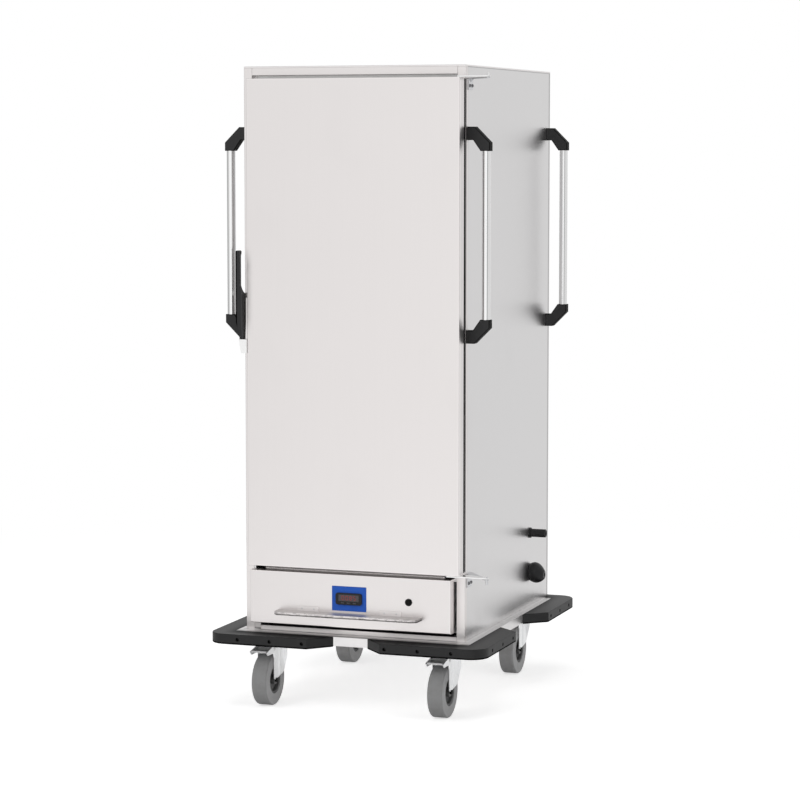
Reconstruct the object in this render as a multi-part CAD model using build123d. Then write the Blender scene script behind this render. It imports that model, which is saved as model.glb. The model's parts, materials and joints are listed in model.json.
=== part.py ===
from build123d import *
import os

# Heated banquet trolley. Millimetres; X to the right, Y to the back, Z up from the floor.
# The origin is on the floor under the middle of the base; the cabinet stands a little to the left of it.

# Clearances
run_clearance = 0.3
pin_clearance = 0.05
hinge_clearance = 0.5

# Cabinet body
cabinet_width = 590.0
cabinet_depth = 740.0
cabinet_height = 1436.0
cabinet_offset = -3.5
side_wall = 27.0
back_wall = 25.0
back_flange = 10.0
roof_sheet = 4.0
roof_edge_radius = 2.5
post_width = 22.0
post_depth = 18.0
post_relief = 45.0

# Rails and panels inside the cabinet
top_rail_height = 19.0
top_rail_depth = 20.0
head_groove = 8.0
ceiling_thickness = 46.0
heater_bay_height = 178.0
floor_thickness = 16.0
air_opening_width = 400.0
air_opening_depth = 60.0
air_opening_inset = 40.0
middle_rail_height = 43.0
middle_rail_depth = 30.0
middle_rail_notch_width = 26.0
middle_rail_notch_height = 17.0
middle_rail_bead_height = 3.0
middle_rail_bead_depth = 2.0
middle_rail_bead_rise = 8.0
kick_rail_height = 11.0
kick_rail_depth = 20.0

# Tray runners
runner_levels = 15
runner_pitch = 75.0
runner_first_rise = 45.0
runner_ledge = 25.0
runner_leg = 14.0
runner_sheet = 2.0
runner_end_gap = 12.0
runner_lead_in = 8.0

# Base pan and bumpers
caster_height = 168.0
base_width = 626.0
base_depth = 740.0
base_height = 24.0
base_sheet = 3.0
base_ledge = 38.0
foot_flange = 6.0
foot_flange_sheet = 1.2
channel_width = 116.0
bumper_thickness = 56.5
bumper_height = 26.5
bumper_end_arm = 323.5
bumper_side_arm = 328.5
bumper_end_slant = 52.0
bumper_corner_radius = 46.0
bumper_edge_radius = 2.0
bumper_screw_pitch = 87.5
bumper_end_screw = 84.0
bumper_side_screw = 78.0
bumper_screws_per_arm = 3
bumper_screw_hole = 9.5
bumper_screw_depth = 10.0

# Door
door_free_gap = 6.0
door_hinge_overhang = 1.0
door_stand_off = 13.0
door_outer_depth = 14.0
door_inner_depth = 27.0
door_inner_inset = 1.5
door_sill_overlap = 20.3
door_head_overlap = 18.4
door_edge_radius = 1.5
seal_flange_width = 12.0
seal_flange_thickness = 7.0
gasket_width = 12.0
gasket_hinge_inset = 1.5
gasket_edge_inset = 3.0
gasket_lip_radius = 3.0

# Hinges
pivot_out = 72.0
pivot_behind_door_front = 4.0
hinge_plate = 3.0
hinge_arm_overlap = 7.0
hinge_arm_inset = 1.0
hinge_arm_width = 33.0
hinge_arm_shoulder = 25.0
hinge_eye_radius = 5.0
hinge_pin_radius = 2.0
hinge_barrel_radius = 3.4
hinge_upper_barrel = 6.3
hinge_lower_barrel = 10.0
hinge_pin_tail = 3.0
hinge_leg_set_back = 14.0
hinge_leg_width = 34.0
hinge_upper_leg = 30.0
hinge_lower_leg = 35.0
hinge_leg_sheet = 3.0
hinge_gusset = 8.0

# Latch
latch_pivot_rise = 735.5
latch_pivot_out = 9.5
latch_pivot_behind_door_front = 5.0
latch_pin_radius = 3.0
latch_rivet_radius = 9.0
latch_rivet_height = 1.5
latch_plate = 2.5
latch_cheek_top = 14.3
latch_cheek_top_reach = 11.6
latch_cheek_drop = 20.5
latch_cheek_heel = 5.3
lever_tongue_thickness = 15.0
lever_side_clearance = 0.5
lever_shoulder = 20.0
lever_tongue_radius = 6.4
lever_neck_left = 10.7
lever_neck_width = 10.4
lever_body_depth = 26.0
lever_body_width = 17.0
lever_body_start = 58.0
lever_lean = 18.0
lever_crotch = 129.5
lever_crotch_radius = 13.0
lever_grip_depth = 12.0
lever_grip_width = 10.0
lever_grip_start = 150.0
lever_length = 238.5
lever_end_radius = 3.6
lever_tip_flare = 4.0
lever_tip_height = 7.0
lever_keeper_gap = 0.6
keeper_width = 11.0
keeper_height = 12.0
keeper_edge_inset = 1.0
keeper_radius = 4.0

# Grab handles
handle_tube_radius = 11.0
handle_tube_wall = 2.0
handle_stand_off = 46.0
handle_edge_inset = 23.0
handle_hinge_gap = 90.0
handle_clear_length = 416.0
handle_socket_depth = 12.0
handle_socket_clearance = 0.05
bracket_thickness = 25.0
bracket_height = 60.0
bracket_arm_height = 33.0
bracket_socket_width = 24.5
bracket_shoulder = 19.0
bracket_inner_shoulder = 14.5
bracket_socket_height = 21.0
bracket_edge_radius = 2.5

# Heater drawer
drawer_side_gap = 4.0
drawer_lift = 23.6
drawer_door_gap = 13.9
drawer_back_gap = 0.5
drawer_front_depth = 36.0
drawer_edge_radius = 2.0
guide_width = 12.5
guide_height = 19.0
guide_groove = 5.0
guide_groove_depth = 4.0
chassis_side_gap = 4.0
chassis_top_gap = 5.0
chassis_rear_gap = 30.0
chassis_sheet = 1.5
element_radius = 4.25
element_height = 56.0
element_pitch = 100.0
element_runs = 4
element_turn_inset = 180.0
fan_radius = 50.0
fan_hub_radius = 14.0
fan_hub_length = 16.0
fan_blades = 6
fan_blade_chord = 30.0
fan_blade_sheet = 1.5
fan_blade_pitch = 32.0
fan_blade_root = 2.0
fan_motor_radius = 30.0
fan_motor_length = 36.0
fan_motor_edge_radius = 3.0
fan_shaft_radius = 4.0
fan_shaft_gap = 3.0

# Pull ledge under the controls
ledge_half_width = 192.5
ledge_depth = 41.0
ledge_sheet = 2.0
ledge_lip = 6.0
ledge_corner_radius = 18.0
ledge_rise = 38.0
ledge_tab_inner = 82.0
ledge_tab_outer = 140.0
ledge_tab_height = 12.0

# Controls
control_rise = 75.0
control_plate_width = 92.0
control_plate_height = 63.0
control_plate_sheet = 1.0
controller_width = 70.0
controller_height = 30.0
controller_bezel_depth = 4.0
controller_corner_radius = 6.0
controller_body_width = 62.0
controller_body_height = 24.0
controller_body_depth = 28.0
controller_body_clearance = 0.2
window_width = 55.0
window_height = 16.5
window_rise = 2.5
window_sheet = 1.2
window_recess = 0.4
key_count = 3
key_pitch = 16.0
key_width = 9.0
key_height = 3.0
key_corner_radius = 0.75
key_drop = 10.0
key_proud = 0.8
key_pocket_depth = 3.0
key_travel = 0.6
key_fit = 0.25
switch_x = 158.7
switch_flange_radius = 9.25
switch_flange_depth = 2.0
switch_body_radius = 8.5
switch_body_depth = 22.0
switch_rocker_radius = 6.6
switch_rocker_depth = 4.0
switch_rocker_proud = 1.2
switch_well_depth = 6.0
switch_fit = 0.45
switch_pin_radius = 0.8

# Right wall fittings
peg_from_front = 564.0
peg_rise = 199.0
peg_radius = 11.0
peg_length = 46.0
peg_flange_radius = 14.0
peg_flange = 4.0
peg_bore_radius = 7.0
peg_bore_depth = 6.0
peg_edge_radius = 2.0
gland_from_front = 568.0
gland_rise = 92.0
gland_root_radius = 22.0
gland_belly_radius = 27.3
gland_belly_out = 13.0
gland_tip_radius = 11.0
gland_tip_out = 41.0
gland_tip_drop = 6.0
gland_bore_radius = 4.5
gland_bore_depth = 20.0

# Casters
caster_side_inset = 77.0
caster_end_inset = 68.0
wheel_radius = 65.0
wheel_width = 40.0
tyre_edge_radius = 4.0
rim_radius = 36.0
rim_width = 36.0
rim_flange = 6.0
rim_web = 20.0
rim_hub_radius = 12.0
hub_end_gap = 0.5
caster_trail = 40.0
fork_sheet = 2.5
fork_side_gap = 1.2
fork_eye_radius = 5.5
axle_radius = 3.0
axle_head_radius = 5.5
axle_head = 1.5
plate_length = 104.0
plate_width = 84.0
plate_sheet = 4.0
race_radius = 31.0
race_height = 6.0
crown_radius = 38.0
crown_sheet = 5.0
crown_gap = 0.5
king_pin_radius = 8.0
king_nut_radius = 12.0
king_nut_height = 7.0
fork_front = 55.5
fork_back = 13.5
fork_toe_ahead = 46.0
fork_toe_rise = 1.5
fork_toe_round = 3.5
fork_heel_behind = 5.0
fork_heel_rise = 11.0
fork_heel_cut = 6.5
fork_step_ahead = 24.0
fork_step_proud = 1.5
fork_step_margin = 4.0
fork_flange = 8.5
fork_flange_slope = 38.0
nose_root = 19.0
nose_reach = 106.0
nose_tip_drop = 11.5
nose_depth = 8.5
nose_brow = 70.0
nose_brow_drop = 4.0
nose_throat_drop = 20.5

# Brake pedal
pedal_pivot_ahead = 52.0
pedal_pivot_drop = 10.0
pedal_pin_radius = 3.0
pedal_sheet = 3.0
pedal_side_gap = 0.7
pedal_heel_behind = 9.0
pedal_heel_drop = 4.5
pedal_bend_ahead = 74.0
pedal_bend_drop = 10.5
pedal_lip_ahead = 101.0
pedal_lip_drop = 9.0
pedal_lip_height = 4.5

# Places worked out from the sizes above
half_width = cabinet_width / 2
inner_half = half_width - side_wall
post_inner = half_width - post_width
base_half = base_width / 2
base_half_depth = base_depth / 2
cabinet_front = base_ledge - base_half_depth
cabinet_back = cabinet_front + cabinet_depth
inner_back = cabinet_back - back_wall
base_top = caster_height + base_height
roof_top = base_top + cabinet_height
wall_top = roof_top - roof_sheet
ceiling_bottom = wall_top - ceiling_thickness
top_rail_bottom = wall_top - top_rail_height
door_head_top = top_rail_bottom - head_groove
floor_bottom = base_top + heater_bay_height
floor_top = floor_bottom + floor_thickness
middle_rail_bottom = floor_top - middle_rail_height

door_left = -post_inner + door_free_gap
door_right = half_width + door_hinge_overhang
door_bottom = floor_top - door_sill_overlap
door_top = ceiling_bottom + door_head_overlap
door_back = cabinet_front - door_stand_off
door_middle = door_back - door_inner_depth
door_front = door_middle - door_outer_depth
gasket_left = door_left - seal_flange_width
gasket_right = door_right - gasket_hinge_inset
gasket_bottom = door_bottom + gasket_edge_inset
gasket_top = door_top - gasket_edge_inset

pivot_x = door_right + pivot_out
pivot_y = door_front + pivot_behind_door_front

hinge_upper_top = door_top - hinge_clearance
hinge_lower_top = door_bottom - hinge_plate - hinge_clearance
handle_top = hinge_upper_top - hinge_upper_leg - handle_hinge_gap
handle_middle = handle_top - bracket_height - handle_clear_length / 2

latch_x = door_left - latch_pivot_out
latch_y = door_front + latch_pivot_behind_door_front
latch_z = base_top + latch_pivot_rise
keeper_face = latch_y + lever_body_depth / 2 + lever_keeper_gap

drawer_half = post_inner - drawer_side_gap
drawer_bottom = base_top + drawer_lift
drawer_top = door_bottom - drawer_door_gap
drawer_back = cabinet_front - drawer_back_gap
drawer_front_y = drawer_back - drawer_front_depth
guide_top = base_top + guide_height
chassis_bottom = guide_top + run_clearance
chassis_half = inner_half - chassis_side_gap
chassis_top = middle_rail_bottom - chassis_top_gap
chassis_back = inner_back - chassis_rear_gap
control_z = drawer_bottom + control_rise
ledge_top = drawer_bottom + ledge_rise

caster_x = base_half - caster_side_inset
caster_y = base_half_depth - caster_end_inset
race_bottom = caster_height - plate_sheet - race_height
crown_top = race_bottom - crown_gap
fork_inner = wheel_width / 2 + fork_side_gap
fork_outer = fork_inner + fork_sheet


def slab(x_span, y_span, z_span):
    """A square block between two planes each way."""
    spans = (x_span, y_span, z_span)
    middle = [(low + high) / 2 for low, high in spans]
    return Pos(*middle) * Box(*[high - low for low, high in spans])


def outline(*points):
    """A flat face inside straight edges."""
    return make_face(Polyline(*points, close=True))


def rod(axis_turn, centre, radius, length):
    """A round bar with its middle at a point."""
    return Pos(*centre) * axis_turn * Cylinder(radius, length)


along_x = Rot(0, 90, 0)
along_y = Rot(90, 0, 0)
along_z = Rot(0, 0, 0)


def mirrored(shape):
    """The same piece on the other side of the trolley."""
    return mirror(shape, about=Plane.YZ)


def group(solids):
    return Compound(children=list(solids))


# Base


def base_pan():
    """Folded tray, open below, with a channel over each pair of casters and a flange round the cabinet."""
    across = (-base_half, base_half)
    along = (-base_half_depth, base_half_depth)
    inside_x = (-base_half + base_sheet, base_half - base_sheet)
    inside_y = (-base_half_depth + base_sheet, base_half_depth - base_sheet)
    pan = slab(across, along, (caster_height, base_top))
    pan -= slab(inside_x, inside_y, (caster_height, base_top - base_sheet))
    for side in (-1, 1):
        middle = side * caster_y
        outer = (middle - channel_width / 2, middle + channel_width / 2)
        inner = (outer[0] + base_sheet, outer[1] - base_sheet)
        channel = slab(inside_x, outer, (caster_height, base_top - base_sheet))
        channel -= slab(inside_x, inner, (caster_height + base_sheet, base_top - base_sheet))
        pan += channel
    flange_half = half_width + foot_flange
    flange_rise = (base_top, base_top + foot_flange_sheet)
    flange = slab((-flange_half, flange_half), (cabinet_front - foot_flange, base_half_depth), flange_rise)
    flange -= slab((-half_width, half_width), (cabinet_front, base_half_depth), flange_rise)
    return pan + Pos(cabinet_offset, 0, 0) * flange


def corner_bumper(side_x, side_y):
    """L-shaped buffer round one corner of the base, with sunk screw holes along both arms."""
    outer_x = base_half + bumper_thickness
    outer_y = base_half_depth + bumper_thickness
    face = outline(
        (outer_x, outer_y),
        (outer_x, outer_y - bumper_side_arm + bumper_end_slant),
        (base_half, outer_y - bumper_side_arm),
        (base_half, base_half_depth),
        (outer_x - bumper_end_arm, base_half_depth),
        (outer_x - bumper_end_arm + bumper_end_slant, outer_y),
    )
    face = fillet(face.vertices().sort_by(Axis.X)[-2:].sort_by(Axis.Y)[-1], bumper_corner_radius)
    bottom = base_top - bumper_height
    body = Pos(0, 0, bottom) * extrude(face, amount=bumper_height)
    rims = body.faces().sort_by(Axis.Z)[0].edges() + body.faces().sort_by(Axis.Z)[-1].edges()
    body = fillet(rims, bumper_edge_radius)
    middle = bottom + bumper_height / 2
    hole = bumper_screw_hole / 2
    for step in range(bumper_screws_per_arm):
        end_place = outer_x - bumper_end_screw - step * bumper_screw_pitch
        side_place = outer_y - bumper_side_screw - step * bumper_screw_pitch
        body -= rod(along_y, (end_place, outer_y, middle), hole, 2 * bumper_screw_depth)
        body -= rod(along_x, (outer_x, side_place, middle), hole, 2 * bumper_screw_depth)
    if side_x < 0:
        body = mirror(body, about=Plane.YZ)
    if side_y < 0:
        body = mirror(body, about=Plane.XZ)
    return body


def corner_bumpers():
    return group(corner_bumper(x, y) for x in (-1, 1) for y in (-1, 1))


# Cabinet


def side_panel():
    """Insulated right wall, stepped for the post and the top rail and cut back beside the drawer."""
    flange_front = cabinet_back - back_flange
    face = outline(
        (inner_half, cabinet_front),
        (post_inner, cabinet_front),
        (post_inner, cabinet_front + post_depth),
        (half_width, cabinet_front + post_depth),
        (half_width, flange_front),
        (inner_half, flange_front),
    )
    panel = Pos(0, 0, base_top) * extrude(face, amount=wall_top - base_top)
    rail_seat = (cabinet_front, cabinet_front + top_rail_depth)
    panel -= slab((inner_half, post_inner), rail_seat, (door_head_top, wall_top))
    relief = (cabinet_front, cabinet_front + post_relief)
    return panel - slab((inner_half, post_inner), relief, (base_top, middle_rail_bottom))


def front_post():
    """Square-edged upright at the right front corner."""
    return slab(
        (post_inner, half_width),
        (cabinet_front, cabinet_front + post_depth),
        (base_top, wall_top),
    )


def back_panel():
    """Insulated back between the walls, with a flange that laps over their rear edges."""
    tall = (base_top, wall_top)
    panel = slab((-inner_half, inner_half), (inner_back, cabinet_back), tall)
    return panel + slab((-half_width, half_width), (cabinet_back - back_flange, cabinet_back), tall)


def roof_panel():
    """Roof sheet with its upper edges rolled over."""
    sheet = slab((-half_width, half_width), (cabinet_front, cabinet_back), (wall_top, roof_top))
    return fillet(sheet.faces().sort_by(Axis.Z)[-1].edges(), roof_edge_radius)


def top_rail():
    # The rail runs into the walls' rail seats, behind the posts' inner edges.
    return slab(
        (-post_inner, post_inner),
        (cabinet_front, cabinet_front + top_rail_depth),
        (top_rail_bottom, wall_top),
    )


def ceiling_panel():
    """Insulated ceiling with the door head in front, a groove below the top rail."""
    behind_rail = cabinet_front + top_rail_depth
    face = outline(
        (cabinet_front, ceiling_bottom),
        (inner_back, ceiling_bottom),
        (inner_back, wall_top),
        (behind_rail, wall_top),
        (behind_rail, door_head_top),
        (cabinet_front, door_head_top),
    )
    return Pos(-inner_half, 0, 0) * extrude(Plane.YZ * face, amount=2 * inner_half)


def floor_panel():
    """Chamber floor with an air opening at the front and at the back."""
    front = cabinet_front + middle_rail_depth
    panel = slab((-inner_half, inner_half), (front, inner_back), (floor_bottom, floor_top))
    for start in (front + air_opening_inset, inner_back - air_opening_inset - air_opening_depth):
        opening = (start, start + air_opening_depth)
        half = air_opening_width / 2
        panel -= slab((-half, half), opening, (floor_bottom, floor_top))
    return panel


def middle_rail():
    """Sill under the door, with a pressed bead along its face and a notch at each end."""
    depth = (cabinet_front, cabinet_front + middle_rail_depth)
    rail = slab((-inner_half, inner_half), depth, (middle_rail_bottom, floor_top))
    notch_top = middle_rail_bottom + middle_rail_notch_height
    notch_start = inner_half - middle_rail_notch_width
    for side in (-1, 1):
        notch = sorted((side * notch_start, side * inner_half))
        rail -= slab(notch, depth, (middle_rail_bottom, notch_top))
    bead_bottom = middle_rail_bottom + middle_rail_bead_rise
    bead_depth = (cabinet_front, cabinet_front + middle_rail_bead_depth)
    bead = (bead_bottom, bead_bottom + middle_rail_bead_height)
    return rail - slab((-notch_start, notch_start), bead_depth, bead)


def kick_rail():
    """Low rail from the left guide's end to the right post."""
    return slab(
        (guide_width - inner_half, post_inner),
        (cabinet_front, cabinet_front + kick_rail_depth),
        (base_top, base_top + kick_rail_height),
    )


def tray_runners():
    """Folded angles up the right wall: a ledge for the tray's rim, with its leg fixed below it."""
    front = cabinet_front + middle_rail_depth + runner_end_gap
    back = inner_back - runner_end_gap
    tip = inner_half - runner_ledge
    angle = outline(
        (inner_half, 0),
        (tip, 0),
        (tip, -runner_sheet),
        (inner_half - runner_sheet, -runner_sheet),
        (inner_half - runner_sheet, -runner_leg),
        (inner_half, -runner_leg),
    )
    runner = Pos(0, back, 0) * extrude(Plane.XZ * angle, amount=back - front)
    corner = runner.edges().filter_by(Axis.Z).sort_by(Axis.X)[:2].sort_by(Axis.Y)[0]
    runner = chamfer(corner, runner_lead_in)
    first = floor_top + runner_first_rise
    return group(Pos(0, 0, first + level * runner_pitch) * runner for level in range(runner_levels))


def drawer_guides():
    """Guide bars for the heater drawer, grooved inside; the right one starts behind the kick rail, and
    the left one fills the space beside its post."""
    start = inner_half - guide_width
    bar = slab((start, inner_half), (cabinet_front, inner_back), (base_top, guide_top))
    middle = base_top + guide_height / 2
    groove = (middle - guide_groove / 2, middle + guide_groove / 2)
    relief_back = cabinet_front + post_relief
    bar -= slab((start, start + guide_groove_depth), (relief_back, inner_back), groove)
    front_end = (cabinet_front, relief_back)
    right = bar - slab((start, inner_half), front_end, (base_top, guide_top))
    left = bar + slab((start, post_inner), front_end, (base_top, guide_top))
    return group((right, mirrored(left)))


# Grab handles


def handle_places():
    """Side, and place along the cabinet, of each handle."""
    rows = (cabinet_front + handle_edge_inset, cabinet_back - handle_edge_inset)
    return [(x, y) for x in (-1, 1) for y in rows]


def handle_tubes():
    """Hollow grips, each pushed into the socket of an end piece at both ends."""
    length = handle_clear_length + 2 * handle_socket_depth
    tube = Cylinder(handle_tube_radius, length)
    tube -= Cylinder(handle_tube_radius - handle_tube_wall, length)
    out = half_width + handle_stand_off
    return group(Pos(x * out, y, handle_middle) * tube for x, y in handle_places())


def handle_end():
    """Upper end piece of a right-hand handle: an arm from the wall that turns down to a socket."""
    high = handle_top
    low = high - bracket_height
    arm_low = high - bracket_arm_height
    inside = handle_stand_off - bracket_socket_width / 2
    outside = handle_stand_off + bracket_socket_width / 2
    face = outline(
        (half_width, high),
        (half_width + bracket_shoulder, high),
        (half_width + outside, low + bracket_socket_height),
        (half_width + outside, low),
        (half_width + inside, low),
        (half_width + bracket_inner_shoulder, arm_low),
        (half_width, arm_low),
    )
    piece = extrude(Plane.XZ * face, amount=bracket_thickness / 2, both=True)
    front_and_back = piece.faces().sort_by(Axis.Y)
    rims = front_and_back[0].edges() + front_and_back[-1].edges()
    piece = fillet(rims.filter_by(lambda edge: edge.center().X > half_width), bracket_edge_radius)
    bore = handle_tube_radius + handle_socket_clearance
    socket = (half_width + handle_stand_off, 0, low)
    return piece - rod(along_z, socket, bore, 2 * handle_socket_depth)


def handle_ends():
    upper = handle_end()
    lower = mirror(upper, about=Plane.XY.offset(handle_middle))
    pieces = []
    for x, y in handle_places():
        for piece in (upper, lower):
            placed = Pos(0, y, 0) * piece
            pieces.append(placed if x > 0 else mirrored(placed))
    return group(pieces)


# Door


def door_shell():
    """Outer pan of the door with softened edges round its face."""
    pan = slab((door_left, door_right), (door_front, door_middle), (door_bottom, door_top))
    return fillet(pan.faces().sort_by(Axis.Y)[0].edges(), door_edge_radius)


def door_inner():
    """Insulated inner pan, a little smaller, with a flange behind the free edge for the gasket."""
    inset = door_inner_inset
    tall = (door_bottom + inset, door_top - inset)
    pan = slab((door_left + inset, door_right - inset), (door_middle, door_back), tall)
    flange = (door_back - seal_flange_thickness, door_back)
    return pan + slab((gasket_left, door_left + inset), flange, tall)


def door_gasket():
    """Closed ring of soft seal with a rounded lip towards the cabinet."""
    front = cabinet_front - run_clearance
    wide = (gasket_left, gasket_right)
    tall = (gasket_bottom, gasket_top)
    ring = slab(wide, (door_back, front), tall)
    inside_wide = (gasket_left + gasket_width, gasket_right - gasket_width)
    inside_tall = (gasket_bottom + gasket_width, gasket_top - gasket_width)
    ring -= slab(inside_wide, (door_back, front), inside_tall)
    return fillet(ring.faces().sort_by(Axis.Y)[-1].edges(), gasket_lip_radius)


def hinge_arm(bottom, barrel_length):
    """Flat arm on the door's edge that narrows to an eye round the pivot."""
    near = door_front + hinge_arm_inset
    far = near + hinge_arm_width
    start = door_right - hinge_arm_overlap
    eye = hinge_eye_radius
    face = outline(
        (start, near),
        (door_right, near),
        (pivot_x, pivot_y - eye),
        (pivot_x, pivot_y + eye),
        (door_right + hinge_arm_shoulder, far),
        (start, far),
    )
    face += Pos(pivot_x, pivot_y) * Circle(eye)
    arm = Pos(0, 0, bottom) * extrude(face, amount=hinge_plate)
    top = bottom + hinge_plate
    if barrel_length:
        middle = top + barrel_length / 2
        arm += rod(along_z, (pivot_x, pivot_y, middle), hinge_barrel_radius, barrel_length)
        top += barrel_length
    bore = hinge_pin_radius + pin_clearance
    return arm - rod(along_z, (pivot_x, pivot_y, (bottom + top) / 2), bore, top - bottom)


def hinge_bracket(top, pin_top, leg_height, barrel_length):
    """Plate out from the side wall to the pivot pin, on a screwed leg with a gusset."""
    leg_front = cabinet_front + hinge_leg_set_back
    leg_back = leg_front + hinge_leg_width
    eye = hinge_eye_radius
    bottom = top - hinge_plate
    face = outline(
        (half_width, leg_front),
        (pivot_x - eye, pivot_y),
        (pivot_x, pivot_y - eye),
        (pivot_x + eye, pivot_y),
        (half_width + hinge_leg_sheet, leg_back),
        (half_width, leg_back),
    )
    face += Pos(pivot_x, pivot_y) * Circle(eye)
    bracket = Pos(0, 0, bottom) * extrude(face, amount=hinge_plate)
    leg = (half_width, half_width + hinge_leg_sheet)
    bracket += slab(leg, (leg_front, leg_back), (top - leg_height, top))
    web = outline(
        (leg[1], bottom),
        (leg[1] + hinge_gusset, bottom),
        (leg[1], bottom - hinge_gusset),
    )
    web_y = (leg_front + leg_back) / 2
    bracket += Pos(0, web_y, 0) * extrude(Plane.XZ * web, amount=hinge_leg_sheet / 2, both=True)
    low = bottom
    if barrel_length:
        low = bottom - barrel_length
        middle = (low + bottom) / 2
        bracket += rod(along_z, (pivot_x, pivot_y, middle), hinge_barrel_radius, barrel_length)
    pin = (pivot_x, pivot_y, (low + pin_top) / 2)
    return bracket + rod(along_z, pin, hinge_pin_radius, pin_top - low)


# Latch


def latch_bracket():
    """Clevis on the door's free edge, with the lever's pin riveted through it."""
    inner = lever_tongue_thickness / 2 + lever_side_clearance
    outer = inner + latch_plate
    cheek = outline(
        (-latch_cheek_heel, -latch_cheek_drop),
        (latch_pivot_out, -latch_cheek_drop),
        (latch_pivot_out, latch_cheek_top),
        (-latch_cheek_top_reach, latch_cheek_top),
    )
    body = extrude(Plane.XZ * cheek, amount=outer, both=True)
    gap_x = (-latch_cheek_top_reach, latch_pivot_out - latch_plate)
    body -= slab(gap_x, (-inner, inner), (-latch_cheek_drop, latch_cheek_top))
    body += rod(along_y, (0, 0, 0), latch_pin_radius, 2 * outer)
    rivet_y = -outer - latch_rivet_height / 2
    body += rod(along_y, (0, rivet_y, 0), latch_rivet_radius, latch_rivet_height)
    return Pos(latch_x, latch_y, latch_z) * body


def latch_lever():
    """Moulded lever: the front outline and the side outline cut each other."""
    left = -lever_lean
    body_right = left + lever_body_width
    neck_right = lever_neck_width - lever_neck_left
    grip_right = left + lever_grip_width
    front = outline(
        (-lever_neck_left, 0),
        (-lever_neck_left, lever_shoulder),
        (left, lever_body_start),
        (left, lever_length),
        (grip_right, lever_length),
        (grip_right, lever_grip_start),
        (body_right, lever_crotch),
        (body_right, lever_body_start),
        (neck_right, lever_shoulder),
        (neck_right, 0),
    )
    ends = front.vertices().sort_by(Axis.Y)[-2:]
    front = fillet(ends, lever_end_radius)
    front += Circle(lever_tongue_radius)
    tongue = lever_tongue_thickness / 2
    body = lever_body_depth / 2
    grip_back = lever_grip_depth - body
    tip_back = grip_back + lever_tip_flare
    tip_low = lever_length - lever_tip_height
    side = outline(
        (-tongue, -lever_tongue_radius),
        (-tongue, lever_shoulder),
        (-body, lever_body_start),
        (-body, lever_length),
        (tip_back, lever_length),
        (tip_back, tip_low),
        (grip_back, tip_low - lever_tip_height),
        (grip_back, lever_crotch),
        (body, lever_crotch),
        (body, lever_body_start),
        (tongue, lever_shoulder),
        (tongue, -lever_tongue_radius),
    )
    crotch = side.vertices().sort_by_distance((grip_back, lever_crotch))[0]
    side = fillet(crotch, lever_crotch_radius)
    reach = lever_length
    lever = extrude(Plane.XZ * front, amount=reach, both=True)
    lever &= extrude(Plane.YZ * side, amount=reach, both=True)
    bore = latch_pin_radius + pin_clearance
    lever -= rod(along_y, (0, 0, 0), bore, lever_body_depth)
    return Pos(latch_x, latch_y, latch_z) * lever


def latch_keeper():
    """Block on the left post with a rounded face that the lever's back bears on."""
    left = -half_width + keeper_edge_inset
    top = latch_z + lever_crotch
    block = slab(
        (left, left + keeper_width),
        (keeper_face, cabinet_front),
        (top - keeper_height, top),
    )
    edges = block.faces().sort_by(Axis.Y)[0].edges().filter_by(Axis.X)
    return fillet(edges, keeper_radius)


# Heater drawer


def drawer_front():
    """Insulated front of the heater drawer, pierced for the controller and the switch."""
    front = slab(
        (-drawer_half, drawer_half),
        (drawer_front_y, drawer_back),
        (drawer_bottom, drawer_top),
    )
    front = fillet(front.faces().sort_by(Axis.Y)[0].edges(), drawer_edge_radius)
    gap = controller_body_clearance
    half = controller_body_width / 2 + gap
    half_height = controller_body_height / 2 + gap
    tall = (control_z - half_height, control_z + half_height)
    front -= slab((-half, half), (drawer_front_y, drawer_back), tall)
    bore = switch_body_radius + gap
    middle = (switch_x, (drawer_front_y + drawer_back) / 2, control_z)
    return front - rod(along_y, middle, bore, drawer_front_depth)


def drawer_chassis():
    """Open tray behind the drawer front that carries the heater and the fan."""
    wide = (-chassis_half, chassis_half)
    deep = (drawer_back, chassis_back)
    tray = slab(wide, deep, (chassis_bottom, chassis_top))
    sheet = chassis_sheet
    inside_wide = (wide[0] + sheet, wide[1] - sheet)
    inside_deep = (deep[0] + sheet, deep[1] - sheet)
    return tray - slab(inside_wide, inside_deep, (chassis_bottom + sheet, chassis_top))


def heating_element():
    """Round heater rod bent back and forth, its two ends in the chassis front wall."""
    start = drawer_back + chassis_sheet
    near = start + element_turn_inset
    far = chassis_back - element_turn_inset
    half_span = (element_runs - 1) * element_pitch / 2
    z = chassis_bottom + element_height
    path = Line((-half_span, start, z), (-half_span, far, z))
    for run in range(1, element_runs):
        x = -half_span + run * element_pitch
        turn_y, next_y = (far, near) if run % 2 else (near, far)
        bulge = element_pitch / 2 if run % 2 else -element_pitch / 2
        middle = (x - element_pitch / 2, turn_y + bulge, z)
        path += ThreePointArc((x - element_pitch, turn_y, z), middle, (x, turn_y, z))
        end_y = start if run == element_runs - 1 else next_y
        path += Line((x, turn_y, z), (x, end_y, z))
    section = Pos(-half_span, start, z) * (Plane.XZ * Circle(element_radius))
    return sweep(section, path=path)


def fan_axis_height():
    return (chassis_bottom + chassis_sheet + chassis_top) / 2


def motor_face():
    return chassis_back - chassis_sheet - fan_motor_length


def fan_motor():
    """Motor can on the chassis rear wall, with the fan's shaft."""
    z = fan_axis_height()
    can = rod(along_y, (0, motor_face() + fan_motor_length / 2, z), fan_motor_radius, fan_motor_length)
    can = fillet(can.faces().sort_by(Axis.Y)[0].edges(), fan_motor_edge_radius)
    length = fan_shaft_gap + fan_hub_length
    return can + rod(along_y, (0, motor_face() - length / 2, z), fan_shaft_radius, length)


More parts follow.
